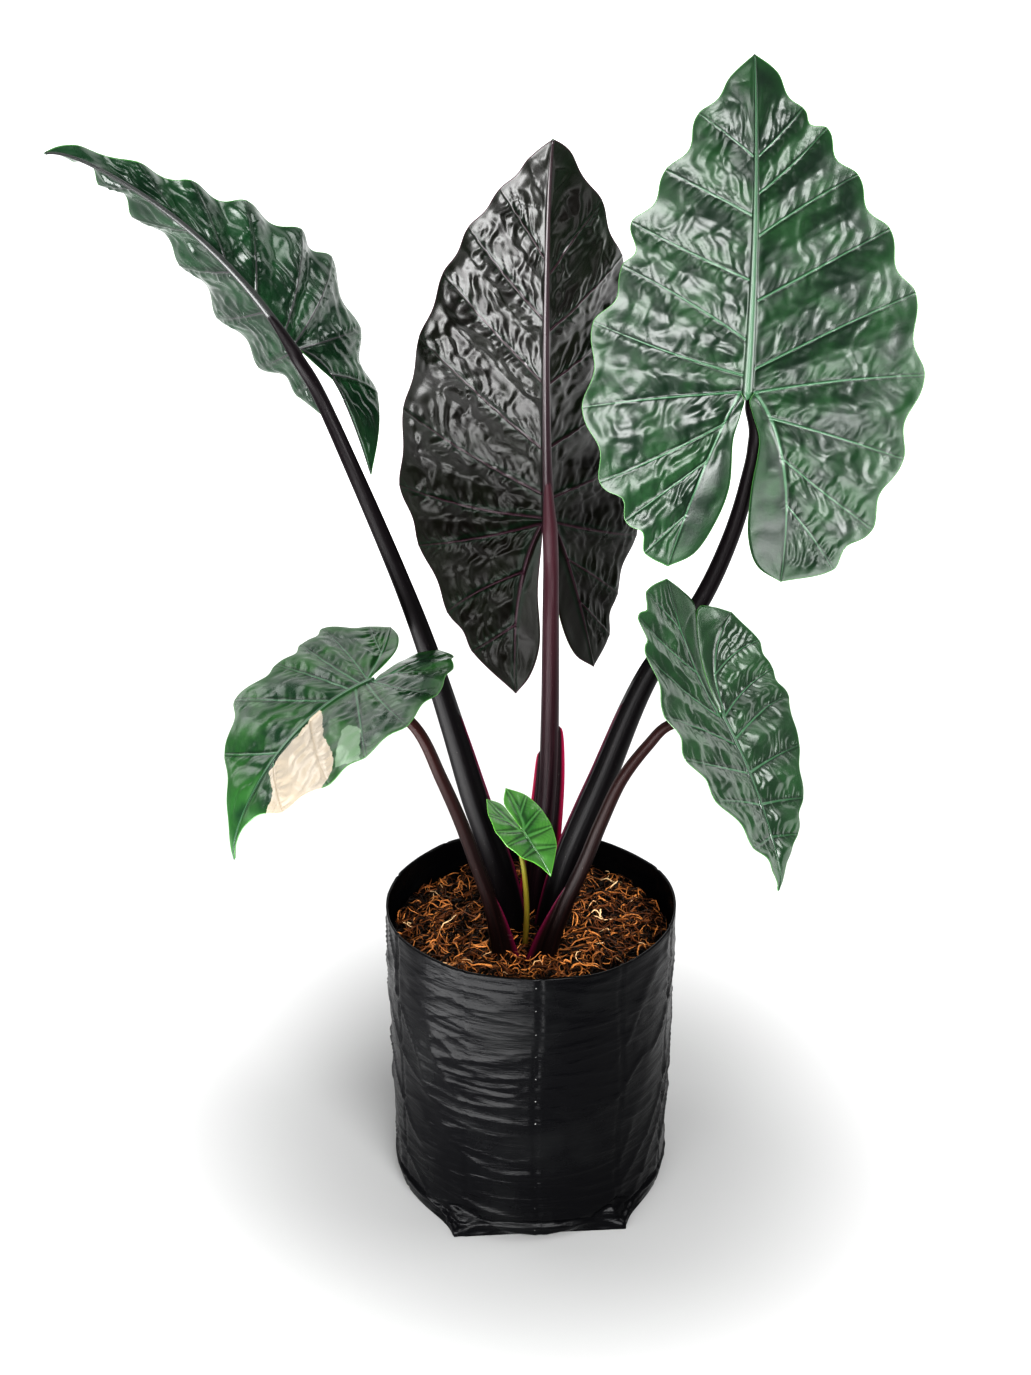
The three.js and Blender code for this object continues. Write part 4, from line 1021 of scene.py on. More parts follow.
def petiole_line(name):
    """Places up a petiole, from its buried foot to its end inside the leaf's rib, and the share of the way there"""
    data, leaf = PETIOLES[name], LEAVES[name]
    start = walk_spine(leaf, True)[0]
    along, up = start[1], start[2]
    steep = math.radians(data["approach"])
    way = along * math.cos(steep) + up * math.sin(steep)
    on_rib = data["approach"] == 0
    depth = CAD_BLADE / 2 + GAP + (data["radii"][3] if on_rib else leaf["rib_depth"])
    corm = np.array(CORM_CENTRE, float)
    foot = mix(corm, np.array(data["points"][0], float), FOOT_SPREAD)
    foot[2] = PETIOLE_FOOT
    end = start[0] - up * depth - along * GAP * math.cos(steep)
    line = spline([foot, *data["points"], end - way * data["settle"], end])
    dense = line(np.linspace(0, len(data["points"]) + 2, 1200))
    length = np.concatenate([[0], np.cumsum(np.linalg.norm(np.diff(dense, axis=0), axis=1))])
    run = np.arange(0, length[-1], PETIOLE_STEP)
    places = np.stack([np.interp(run, length, dense[:, axis]) for axis in range(3)], -1)
    share = run / length[-1]
    if on_rib:
        reach = RIB_RUN_ON * leaf["length"]
        inside = np.arange(1, 12) / 11
        frames = frames_at(leaf, (walk_spine(leaf, True), walk_spine(leaf, False)), inside * reach)
        sunk = mix(depth, 0.9, inside ** 0.8)[:, None]
        tail = frames[:, 0] - frames[:, 2] * sunk
    else:
        inside = np.array([1.0])
        tail = (end + way * (leaf["rib_depth"] * 0.6))[None]
    if "aside" in data:
        places[:, :2] += np.array(data["aside"]) * smooth((share - ASIDE_START) / ASIDE_LENGTH)[:, None]
        tail[:, :2] += np.array(data["aside"]) * (1 - smooth(inside / 0.6))[:, None]
    return np.concatenate([places, tail]), np.concatenate([share, 1 + inside])


def make_petiole(name):
    """One petiole with its sheath, run on into the rib of its leaf"""
    data = PETIOLES[name]
    line, share = petiole_line(name)
    tangent = unit(np.gradient(line, axis=0))
    x = unit(np.array([1.0, 0, 0]) - tangent * tangent[:, :1])
    y = np.cross(tangent, x)
    angles = np.arange(0, 360, PETIOLE_ANGLE)
    for azimuth, *_ in data["wings"]:
        close = np.abs((angles - azimuth + 180) % 360 - 180) < WING_ROOM
        beside = (azimuth + np.array(WING_ANGLES)) % 360
        angles = np.concatenate([angles[~close], beside])
    angles = np.radians(np.sort(angles))
    radius = np.interp(np.minimum(share, 1), [0, 1 / 3, 2 / 3, 1], data["radii"])
    radius = np.where(share > 1, radius * mix(1, PETIOLE_TIP, np.clip(share - 1, 0, 1)), radius)[:, None]
    flutes = 0.018 * np.sin(5 * angles + 1) + 0.012 * np.sin(9 * angles)
    section = radius * (1 + flutes[None])
    wing = np.zeros_like(section)
    height = line[:, 2:3]
    for azimuth, top, out, narrowing in data["wings"]:
        stand = out * np.clip((top - height) / (top - SOIL_LEVEL), 0, 1.15) ** narrowing
        gap = np.degrees(np.abs((angles - math.radians(azimuth) + np.pi) % (2 * np.pi) - np.pi))[None]
        blade = bell(gap, 3.2) * 0.85 + bell(gap, 9) * 0.15
        section = section + stand * blade
        wing = np.maximum(wing, smooth((blade - 0.6) / 0.35) * smooth(stand / 1.2))
    points = (line[:, None] + x[:, None] * (section * np.cos(angles))[..., None]
              + y[:, None] * (section * np.sin(angles))[..., None])
    points = np.concatenate([points.reshape(-1, 3), line[:1], line[-1:]])
    run = np.concatenate([[0], np.cumsum(np.linalg.norm(np.diff(line, axis=0), axis=1))])
    around = np.stack(np.broadcast_arrays(angles[None] * radius.mean(), run[:, None], 0.0), -1).reshape(-1, 3)
    rise = np.broadcast_to(share[:, None], section.shape)
    attributes = {
        "round": np.concatenate([around, around[:1], around[-1:]]),
        "wing": np.concatenate([wing.ravel(), [0, 0]]),
        "rise": np.concatenate([rise.ravel(), [0, 0]]),
    }
    return make_object(f"stalk_{name}", points * MM, capped_faces(*section.shape), None, attributes)


def stalk_material(name, group, low, high, sheath, gloss):
    """A petiole's skin: one colour at the soil, another at the leaf, and a coloured edge to its sheath"""
    material, tree = new_material(name)
    masks = placed(tree, group, Streaks=1.0)
    base = tinted(tree, band(tree, attribute(tree, "rise"), 0.35, 1.1), low, high)
    base = tinted(tree, calc(tree, "MULTIPLY", band(tree, masks["Streak"], 0.4, 0.75), 0.4), base, high)
    base = tinted(tree, masks["Sheath"], base, sheath)
    base = tinted(tree, calc(tree, "MULTIPLY", masks["Speck"], 0.12), base, SPECK)
    shaded(tree, {"Base Color": base, "Roughness": gloss, "Specular IOR Level": 0.12}, masks["Skin"], 0.00012)
    return material


# Bag

EAR_ANGLE, EAR_LENGTH, EAR_SPREAD = 34.5, 10, 6
BASE_RADIUS, BASE_FLAT = 92, 86
BASE_TURN = math.radians(4)
BASE_CREASE, EAR_CREASE = 4, 11  # height of the crease round the base, and how much higher it runs at an ear
RIM_DROP, RIM_REACH = 0.6, 14    # of the rim below the full height, and of its waves down the wall
INSIDE_HEIGHTS = (120, 80, 45, 20, 8, 2)
BAG_COLUMNS, BAG_ROWS, BAG_INSIDE_ROWS = 300, 165, 24
FOLD_ANGLES = (-154.5, -117.4, -87.7, -52.8, -20, 25.5, 62.6, 92.3, 127.2, 160)
PINHOLE_FOLD, PINHOLE_SPACING = math.radians(271.5), 17.3

# Depths of the creases, as shares of the wrinkle depth
LEVEL_DEPTH, BROAD_DEPTH, SLANT_DEPTH, CROSS_DEPTH = 0.75, 0.8, 1.2, 0.6
FOLD_DEPTH, FOLD_SHOULDER, TUCK_DEPTH, CRUMPLE_DEPTH = 0.7, 0.15, 1.6, 2.6


def from_fold(angle):
    """Degrees from the middle of the front or back fold of the base"""
    return np.degrees(np.arccos(np.abs(np.sin(angle - BASE_TURN)).clip(0, 1)))


def bag_outline(angle, z):
    """The bag's radius without wrinkles: round above, with straight folds and four corners at the base"""
    from_front = from_fold(angle)
    straight = BASE_FLAT / np.cos(np.radians(np.minimum(from_front, EAR_ANGLE)))
    past = BASE_RADIUS + EAR_LENGTH * np.exp((EAR_ANGLE - from_front) / EAR_SPREAD)
    base = np.where(from_front <= EAR_ANGLE, straight, past)
    wall = mix(BASE_RADIUS + 1, BAG_RADIUS + 0.4, smooth(z / BAG_HEIGHT))
    crease = BASE_CREASE + EAR_CREASE * bell(from_front - EAR_ANGLE, 17)
    share = np.clip(1 - z / crease, 0, 1)
    return mix(wall, base, share ** 0.9) - 0.9 * bell(z - crease, 1.6) * smooth((crease - 5) / 8)


def bag_wrinkles(angle, z, depth):
    """Creases of the filled film: level ones, slanting ones on the flanks, upright folds, crumpled corners"""
    turn = angle / (2 * np.pi)
    from_front = from_fold(angle)
    arc = np.radians(from_front) * BASE_RADIUS
    side = np.sign(np.cos(angle - BASE_TURN))
    drift = noise(turn * 8, z / 22, 31, 8)
    soft = 1 - np.abs(noise(turn * 17, z / 6.5 + 1.3 * drift + 1.5 * turn, 32, 17))
    broad = 1 - np.abs(noise(turn * 9, z / 12 + 0.9 * drift, 33, 9))
    flank = smooth((from_front - 22) / 22)
    level = (soft ** 4 * LEVEL_DEPTH + broad ** 5 * BROAD_DEPTH) * (1 - 0.45 * flank)
    slant_along, slant_across = arc * 0.62 + z * 0.78, arc * 0.78 - z * 0.62
    slant = 1 - np.abs(noise(slant_along / 60 + 3 * side, slant_across / 17 + 5 * side, 34))
    cross = 1 - np.abs(noise((arc * 0.9 - z * 0.4) / 70 + 7 * side, (arc * 0.4 + z * 0.9) / 13, 38))
    fade = smooth(z / 16) * smooth((BAG_HEIGHT + 3 - z) / 14)
    out = (level + (slant ** 6 * SLANT_DEPTH + cross ** 6 * CROSS_DEPTH) * flank - 0.4) * fade
    for number, fold in enumerate(FOLD_ANGLES):
        away = (np.degrees(angle) - fold - 1.5 * noise(z / 60, z * 0 + number, 35) + 180) % 360 - 180
        out = out - FOLD_DEPTH * bell(away, 0.6) + FOLD_SHOULDER * bell(np.abs(away) - 2, 1.4)
    corner = bell(from_front - EAR_ANGLE, 15) * smooth((24 - z) / 12) * smooth(z / 2)
    crumple = 1 - np.abs(noise(arc / 14, z / 5 + arc / 16, 36))
    tuck = 12.5 - 5 * bell(from_front - EAR_ANGLE, 9) + 1.5 * noise(turn * 12, z * 0, 39, 12)
    out = out - TUCK_DEPTH * bell(z - tuck, 1.1) + bell(z - tuck + 3, 1.8) * smooth(z / 2)
    return depth * (out + CRUMPLE_DEPTH * corner * (crumple ** 2 - 0.5))


def make_bag(settings):
    """The film bag: a thin open shell with a wavy rim, its base folded flat with four ears"""
    angles = (np.arange(BAG_COLUMNS) + 0.5) / BAG_COLUMNS * 2 * np.pi
    height = BAG_HEIGHT - RIM_DROP
    z = height * np.linspace(0, 1, BAG_ROWS) ** 1.04
    depth = settings.wrinkle_depth / MM
    grid_z, grid_angle = np.meshgrid(z, angles, indexing="ij")
    outside = bag_outline(grid_angle, grid_z) + bag_wrinkles(grid_angle, grid_z, depth)
    wave = 0.9 * np.sin(3 * angles + 1) + 0.45 * np.sin(7 * angles)
    wave = wave + 0.5 * noise(angles / np.pi * 14, angles * 0, 37, 28)
    grid_z = grid_z + wave[None] * smooth((grid_z - height + RIM_REACH) / RIM_REACH)
    film = settings.film_thickness / MM
    seen_rows = BAG_INSIDE_ROWS - len(INSIDE_HEIGHTS)
    inside_z = np.concatenate([np.linspace(height, SOIL_LEVEL - 12, seen_rows), INSIDE_HEIGHTS])
    inner_z, inner_angle = np.meshgrid(inside_z, angles, indexing="ij")
    round_base = mix(BASE_RADIUS, BAG_RADIUS, smooth(inner_z / 60)) - 0.4
    inside = np.minimum(bag_outline(inner_angle, inner_z), round_base)
    inside = inside + bag_wrinkles(inner_angle, inner_z, depth) * smooth((inner_z - 150) / 20) - film
    inner_z = inner_z + wave[None] * smooth((inner_z - height + RIM_REACH) / RIM_REACH)
    radius = np.concatenate([outside, inside])
    heights = np.concatenate([grid_z, inner_z])
    points = np.stack([radius * np.cos(angles), radius * np.sin(angles), heights], -1).reshape(-1, 3)
    points = np.concatenate([points, [[0, 0, 0], [0, 0, inside_z[-1]]]])
    around = np.stack([angles[None] * BASE_RADIUS + heights * 0, heights, heights * 0], -1).reshape(-1, 3)
    attributes = {"wrap": np.concatenate([around, np.zeros((2, 3))])}
    return make_object("film_bag", points * MM, capped_faces(*radius.shape), None, attributes)


def film_material(settings):
    """Black polythene film, glossy with a finer crinkle and a few pinholes down its middle fold"""
    material, tree = new_material("Black film")
    place = attribute(tree, "wrap", "Vector")
    crinkle = cloud(tree, 1.0, place, 4, (0.03, 0.2, 1), 0.6)
    grain = cloud(tree, 0.7, place, 2)
    height = calc(tree, "ADD", crinkle, calc(tree, "MULTIPLY", grain, 0.12))
    dust = cloud(tree, 0.02, place, 4)
    base = tinted(tree, band(tree, dust, 0.45, 0.75), settings.film_colour, FILM_DUST)
    axes = node(tree, "ShaderNodeSeparateXYZ", {0: place}).outputs
    level = calc(tree, "FRACT", calc(tree, "DIVIDE", axes["Y"], PINHOLE_SPACING))
    level = calc(tree, "ABSOLUTE", calc(tree, "SUBTRACT", level, 0.5))
    sideways = calc(tree, "ABSOLUTE", calc(tree, "SUBTRACT", axes["X"], PINHOLE_FOLD * BASE_RADIUS))
    hole = calc(tree, "MULTIPLY", band(tree, level, 0.03, 0.015), band(tree, sideways, 0.5, 0.3))
    hole = calc(tree, "MULTIPLY", hole, band(tree, cloud(tree, 0.06, place, 2), 0.42, 0.56))
    base = tinted(tree, hole, base, PINHOLE)
    rough = band(tree, dust, 0.3, 0.8, 0.2, 0.34)
    shaded(tree, {"Base Color": base, "Roughness": rough, "IOR": 1.5, "Specular IOR Level": 0.09}, height, 0.0007)
    return material


# Soil

SOIL_RINGS, SOIL_COLUMNS = 76, 260
SOIL_MOUND, SOIL_RELIEF = 5, 1.6
BED_DEPTH = 1.5                  # how far the body of coir lies below the level where its strands start
BED_HEIGHTS = (20.0, 60.0, 150.0)
BED_INSET, BED_SLOPE = 4, 0.12   # of the bed's side from the straight folds of the base, and outwards with height
FIBRE_STEPS, FIBRE_SIDES = 6, 4
FIBRE_LENGTH, FIBRE_ARCH, FIBRE_FLATNESS = (10, 30), (0.5, 5.0), (0.3, 0.8)
FIBRE_TURN, FIBRE_TILT = 190, 0.22
FIBRE_LAYERS = (("coir_lower", 7, -2.4, 0.8), ("coir_upper", 8, 0.2, 3.6))    # name, seed, lowest, highest


def soil_top(x, y):
    """The level of the coir, mounded at the middle and lumpy"""
    far = np.hypot(x, y) / (BAG_RADIUS - 0.4)
    lumps = np.sin(x / 5.3 + 2 * np.sin(y / 9)) * np.cos(y / 4.7 + 1.5 * np.sin(x / 11))
    lumps = lumps + 0.7 * np.sin(x / 2.9 - y / 3.7) * np.cos((x + y) / 6.1)
    return SOIL_LEVEL + SOIL_MOUND * (1 - far * far) + 1.3 * SOIL_RELIEF * lumps


def make_soil():
    """The body of coir that fills the bag, with a rough upper face"""
    angles = (np.arange(SOIL_COLUMNS) + 0.5) / SOIL_COLUMNS * 2 * np.pi
    limit = SOIL_HIGH.x / MM
    radius = limit * (np.arange(SOIL_RINGS, 0, -1) / SOIL_RINGS)
    x, y = radius[:, None] * np.cos(angles), radius[:, None] * np.sin(angles)
    top = soil_top(x, y) + 1.3 * noise(x / 3.1, y / 3.1, 41) + 0.8 * noise(x / 1.6, y / 1.6, 42) - BED_DEPTH
    low = SOIL_LOW.z / MM
    side_z = np.array([low, *BED_HEIGHTS])
    side_r = np.minimum(limit, BASE_FLAT - BED_INSET + side_z * BED_SLOPE)
    side = np.stack(np.broadcast_arrays(side_r[:, None] * np.cos(angles), side_r[:, None] * np.sin(angles),
                                        side_z[:, None]), -1)
    points = np.concatenate([side.reshape(-1, 3), np.stack([x, y, top], -1).reshape(-1, 3)])
    points = np.concatenate([points, [[0, 0, low], [0, 0, soil_top(0.0, 0.0) - BED_DEPTH]]])
    return make_object("coir_body", points * MM, capped_faces(len(side_z) + SOIL_RINGS, SOIL_COLUMNS))


def make_fibres(name, settings, seed, lowest, highest):
    """Curled fibres and shavings of husk over the coir, as one mesh of flattened tapering strands"""
    random = np.random.default_rng(seed)
    count = settings.fibre_count
    limit = SOIL_HIGH.x / MM - 2.5
    radius = limit * np.sqrt(random.uniform(0, 1, count))
    angle = random.uniform(0, 2 * np.pi, count)
    length = random.uniform(*FIBRE_LENGTH, count) * random.uniform(0.6, 1, count)
    width = random.uniform(0.45, 1.0, count) * settings.fibre_width / MM
    heading = random.uniform(0, 2 * np.pi, count)
    turn = random.normal(0, 1.0, count) * np.radians(FIBRE_TURN)
    arch = random.uniform(*FIBRE_ARCH, count)
    lift = random.uniform(lowest, highest, count)
    tilt = random.normal(0, FIBRE_TILT, count)
    step = np.linspace(-0.5, 0.5, FIBRE_STEPS + 1)
    wave = 0.35 * np.sin(step[None] * random.uniform(4, 13, count)[:, None] + random.uniform(0, 6, count)[:, None])
    bearing = heading[:, None] + turn[:, None] * step[None] + wave
    stride = length[:, None] / FIBRE_STEPS
    way_x, way_y = np.cos(bearing) * stride, np.sin(bearing) * stride
    x = radius * np.cos(angle)
    y = radius * np.sin(angle)
    x = x[:, None] + np.cumsum(way_x, 1) - way_x.sum(1, keepdims=True) / 2
    y = y[:, None] + np.cumsum(way_y, 1) - way_y.sum(1, keepdims=True) / 2
    far = np.hypot(x, y)
    inward = np.minimum(1, limit / np.maximum(far, 1e-6))
    x, y = x * inward, y * inward
    rise = arch[:, None] * (0.25 - step[None] ** 2) * 2 + tilt[:, None] * step[None] * length[:, None]
    z = soil_top(x, y) + lift[:, None] + np.clip(rise, -3, 4.5)
    line = np.stack([x, y, z], -1)
    tangent = unit(np.gradient(line, axis=1) + 1e-6)
    across = unit(np.cross(tangent, np.array([0.0, 0, 1.0])) + 1e-6)
    upward = np.cross(across, tangent)
    roll = random.uniform(0, np.pi, count)[:, None, None]
    wide = across * np.cos(roll) + upward * np.sin(roll)
    thin = np.cross(tangent, wide)
    taper = (1 - 0.75 * np.abs(2 * step) ** 3)[None, :, None]
    half = width[:, None, None] * taper
    flatness = random.uniform(*FIBRE_FLATNESS, count)[:, None, None]
    corners = [wide * half, thin * half * flatness, -wide * half, -thin * half * flatness]
    points = np.stack([line + corner for corner in corners], 2)
    rings = (FIBRE_STEPS + 1) * FIBRE_SIDES
    one = grid_faces(FIBRE_STEPS + 1, FIBRE_SIDES, closed=True)
    caps = np.array([[3, 2, 1, 0], [rings - 4, rings - 3, rings - 2, rings - 1]])
    one = np.concatenate([one, caps])
    faces = (np.arange(count)[:, None, None] * rings + one[None]).reshape(-1, 4).tolist()
    tone = np.repeat(random.uniform(0, 1, count), rings)
    tall = np.repeat(lift / 3, rings)
    return make_object(name, points.reshape(-1, 3) * MM, faces, None, {"tone": tone, "tall": tall})


def coir_material(name, settings, strands):
    """Coir: painted shade, near black, between the strands and on the lowest strands, orange brown on the others, a
    few of them pale
    """
    material, tree = new_material(name)
    place = object_place(tree)
    mottle = cloud(tree, 420, place, 4)
    if strands:
        tone = attribute(tree, "tone")
        base = tinted(tree, band(tree, tone, 0.1, 0.5), settings.coir_dark, settings.coir_mid)
        base = tinted(tree, band(tree, tone, 0.55, 0.95), base, settings.coir_light)
        base = tinted(tree, band(tree, tone, 0.975, 0.985), base, settings.coir_pale)
        # painted shade: strands that lie low among the others are darkened towards near black
        low = band(tree, attribute(tree, "tall"), 0.8, 0.12, 0, 0.98)
        base = tinted(tree, low, base, settings.coir_painted_shade)
        base = tinted(tree, band(tree, mottle, 0.5, 0.7, 0, 0.25), base, settings.coir_dark)
        rough = 0.42
    else:
        # painted shade: the bed between the strands is near black, mottled with dark brown
        base = tinted(tree, band(tree, mottle, 0.6, 0.85), settings.coir_painted_shade, settings.coir_dark)
        rough = 0.85
    inputs = {"Base Color": base, "Roughness": rough, "Specular IOR Level": 0.25}
    shaded(tree, inputs, cloud(tree, 1400, place, 3), 0.0003)
    return material


def corm_material():
    """The buried corm: brown and ringed"""
    material, tree = new_material("Corm skin")
    place = object_place(tree)
    rings = cloud(tree, 60, place, 4, (1, 1, 6))
    base = tinted(tree, band(tree, rings, 0.35, 0.7), CORM_DARK, CORM_LIGHT)
    shaded(tree, {"Base Color": base, "Roughness": 0.8}, rings, 0.001)
    return material


# Settings

class PlantLeafSettings(bpy.types.PropertyGroup):
    """Sizes and colours of the blades"""
    thickness: FloatProperty(name="Thickness", description="Thickness of a blade", default=0.0007, unit="LENGTH",
                             min=0.0002, max=0.003, precision=5)
    pucker_height: FloatProperty(name="Pucker", description="Height of the swellings between side creases",
                                 default=0.00075, unit="LENGTH", min=0, max=0.004, precision=5)
    vein_height: FloatProperty(name="Vein height", description="Height of the side veins", default=0.0006,
                               unit="LENGTH", min=0, max=0.003, precision=5)
    deep_green: FloatVectorProperty(name="Deep green", description="Darkest green of the upper face",
                                    default=(0.003, 0.0145, 0.0062), subtype="COLOR", min=0, max=1)
    fresh_green: FloatVectorProperty(name="Fresh green", description="Lighter green near the edges",
                                     default=(0.009, 0.043, 0.0125), subtype="COLOR", min=0, max=1)
    vein_green: FloatVectorProperty(name="Vein green", description="Pale green of the veins",
                                    default=(0.04, 0.11, 0.055), subtype="COLOR", min=0, max=1)
    margin_green: FloatVectorProperty(name="Margin green", description="Thin line along the edge",
                                      default=(0.05, 0.14, 0.04), subtype="COLOR", min=0, max=1)
    dark_under: FloatVectorProperty(name="Dark underside", description="Underside of the middle leaf",
                                    default=(0.0032, 0.0026, 0.0019), subtype="COLOR", min=0, max=1)
    cream: FloatVectorProperty(name="Cream", description="Cream sector of the variegated leaf",
                               default=(0.33, 0.285, 0.225), subtype="COLOR", min=0, max=1)
    # the mint colour is partly a painted gloss highlight
    mint: FloatVectorProperty(name="Mint", description="Pale green sector of the variegated leaf",
                              default=(0.12, 0.19, 0.115), subtype="COLOR", min=0, max=1)


class PlantStalkSettings(bpy.types.PropertyGroup):
    """Colours of the petioles"""
    black: FloatVectorProperty(name="Black", description="The two tallest stalks", default=(0.003, 0.0025, 0.003),
                               subtype="COLOR", min=0, max=1)
    purple: FloatVectorProperty(name="Purple", description="The middle stalk", default=(0.008, 0.0035, 0.005),
                                subtype="COLOR", min=0, max=1)
    brown: FloatVectorProperty(name="Brown", description="The two low stalks", default=(0.005, 0.0025, 0.0025),
                               subtype="COLOR", min=0, max=1)
    olive: FloatVectorProperty(name="Olive", description="The small stalk", default=(0.07, 0.045, 0.007),
                               subtype="COLOR", min=0, max=1)
    magenta: FloatVectorProperty(name="Magenta", description="Edge of the sheaths", default=(0.07, 0.004, 0.022),
                                 subtype="COLOR", min=0, max=1)
    vivid: FloatVectorProperty(name="Vivid", description="Membranes of the middle stalk", default=(0.3, 0.008, 0.055),
                               subtype="COLOR", min=0, max=1)


class PlantBagSettings(bpy.types.PropertyGroup):
    """Film of the grow bag"""
    film_thickness: FloatProperty(name="Film", description="Thickness of the film", default=0.0005, unit="LENGTH",
                                  min=0.0001, max=0.002, precision=5)
    wrinkle_depth: FloatProperty(name="Wrinkle", description="Depth of the creases", default=0.0011, unit="LENGTH",
                                 min=0, max=0.004, precision=5)
    film_colour: FloatVectorProperty(name="Film colour", description="Black of the film",
                                     default=(0.0025, 0.0025, 0.003), subtype="COLOR", min=0, max=1)


class PlantSoilSettings(bpy.types.PropertyGroup):
    """Coir in the bag"""
    fibre_count: IntProperty(name="Fibres", description="Number of fibres in each of the two layers",
                             default=2600, min=0, max=3000)
    fibre_width: FloatProperty(name="Fibre width", description="Half width of the widest fibre", default=0.00085,
                               unit="LENGTH", min=0.0001, max=0.002, precision=5)
    # painted shade in the coir: the near black of the gaps and of the low strands
    coir_painted_shade: FloatVectorProperty(name="Shade", description="Deep gaps", default=(0.002, 0.001, 0.0007),
                                    subtype="COLOR", min=0, max=1)
    coir_dark: FloatVectorProperty(name="Dark", description="Dark fibres", default=(0.009, 0.0035, 0.0016),
                                   subtype="COLOR", min=0, max=1)
    coir_mid: FloatVectorProperty(name="Middle", description="Orange brown fibres", default=(0.13, 0.043, 0.012),
                                  subtype="COLOR", min=0, max=1)
    coir_light: FloatVectorProperty(name="Light", description="Tan fibres", default=(0.55, 0.23, 0.07),
                                    subtype="COLOR", min=0, max=1)
    coir_pale: FloatVectorProperty(name="Pale", description="The few pale fibres", default=(0.75, 0.52, 0.3),
                                   subtype="COLOR", min=0, max=1)


class PlantStageSettings(bpy.types.PropertyGroup):
    """Camera, floor and lights"""
    camera_place: FloatVectorProperty(name="Camera", description="Where the camera stands",
                                      default=(-0.0102, -1.0876, 0.8568), subtype="TRANSLATION")
    camera_tilt: FloatProperty(name="Tilt", description="Turn of the camera up from straight down",
                               default=math.radians(65.4), subtype="ANGLE")
    lens: FloatProperty(name="Lens", description="Focal length in mm for a 36 mm sensor", default=50, min=10, max=200)
    floor_colour: FloatVectorProperty(name="Floor", description="Pale floor and backdrop",
                                      default=(0.29, 0.29, 0.29), subtype="COLOR", min=0, max=1)
    # the floor glows, though it is no lamp; its glow is weak near the bag, which paints a soft shadow round it
    floor_glow: FloatProperty(name="Floor glow", description="Light that the floor gives off away from the bag",
                              default=0.47, min=0)
    left_power: FloatProperty(name="Left key", description="Power of the left front light", default=3, unit="POWER",
                              min=0)
    right_power: FloatProperty(name="Right key", description="Power of the right front light", default=60,
                               unit="POWER", min=0)
    low_power: FloatProperty(name="Low", description="Power of the low light in front", default=10, unit="POWER",
                             min=0)
    under_power: FloatProperty(name="Under", description="Power of the light close to the floor, below the leaves",
                               default=9, unit="POWER", min=0)
    top_power: FloatProperty(name="Top", description="Power of the high light at the right; the left one is weaker",
                             default=13, unit="POWER", min=0)
    surround: FloatProperty(name="Surround", description="Strength of the even light from all round", default=0.3,
                            min=0)


# Operators

def finish_piece(piece, materials, nodes):
    """Gives a piece its materials and body, and hides the solids that it stands for"""
    for material in materials:
        piece.data.materials.append(material)
    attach(piece, BODY)
    if nodes:
        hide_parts(*nodes)


FLOOR_REACH, SWEEP_START, SWEEP_RADIUS, BACKDROP_TOP = 5.0, 2.6, 1.2, 6.0
BACKDROP_GLOW = 1.2


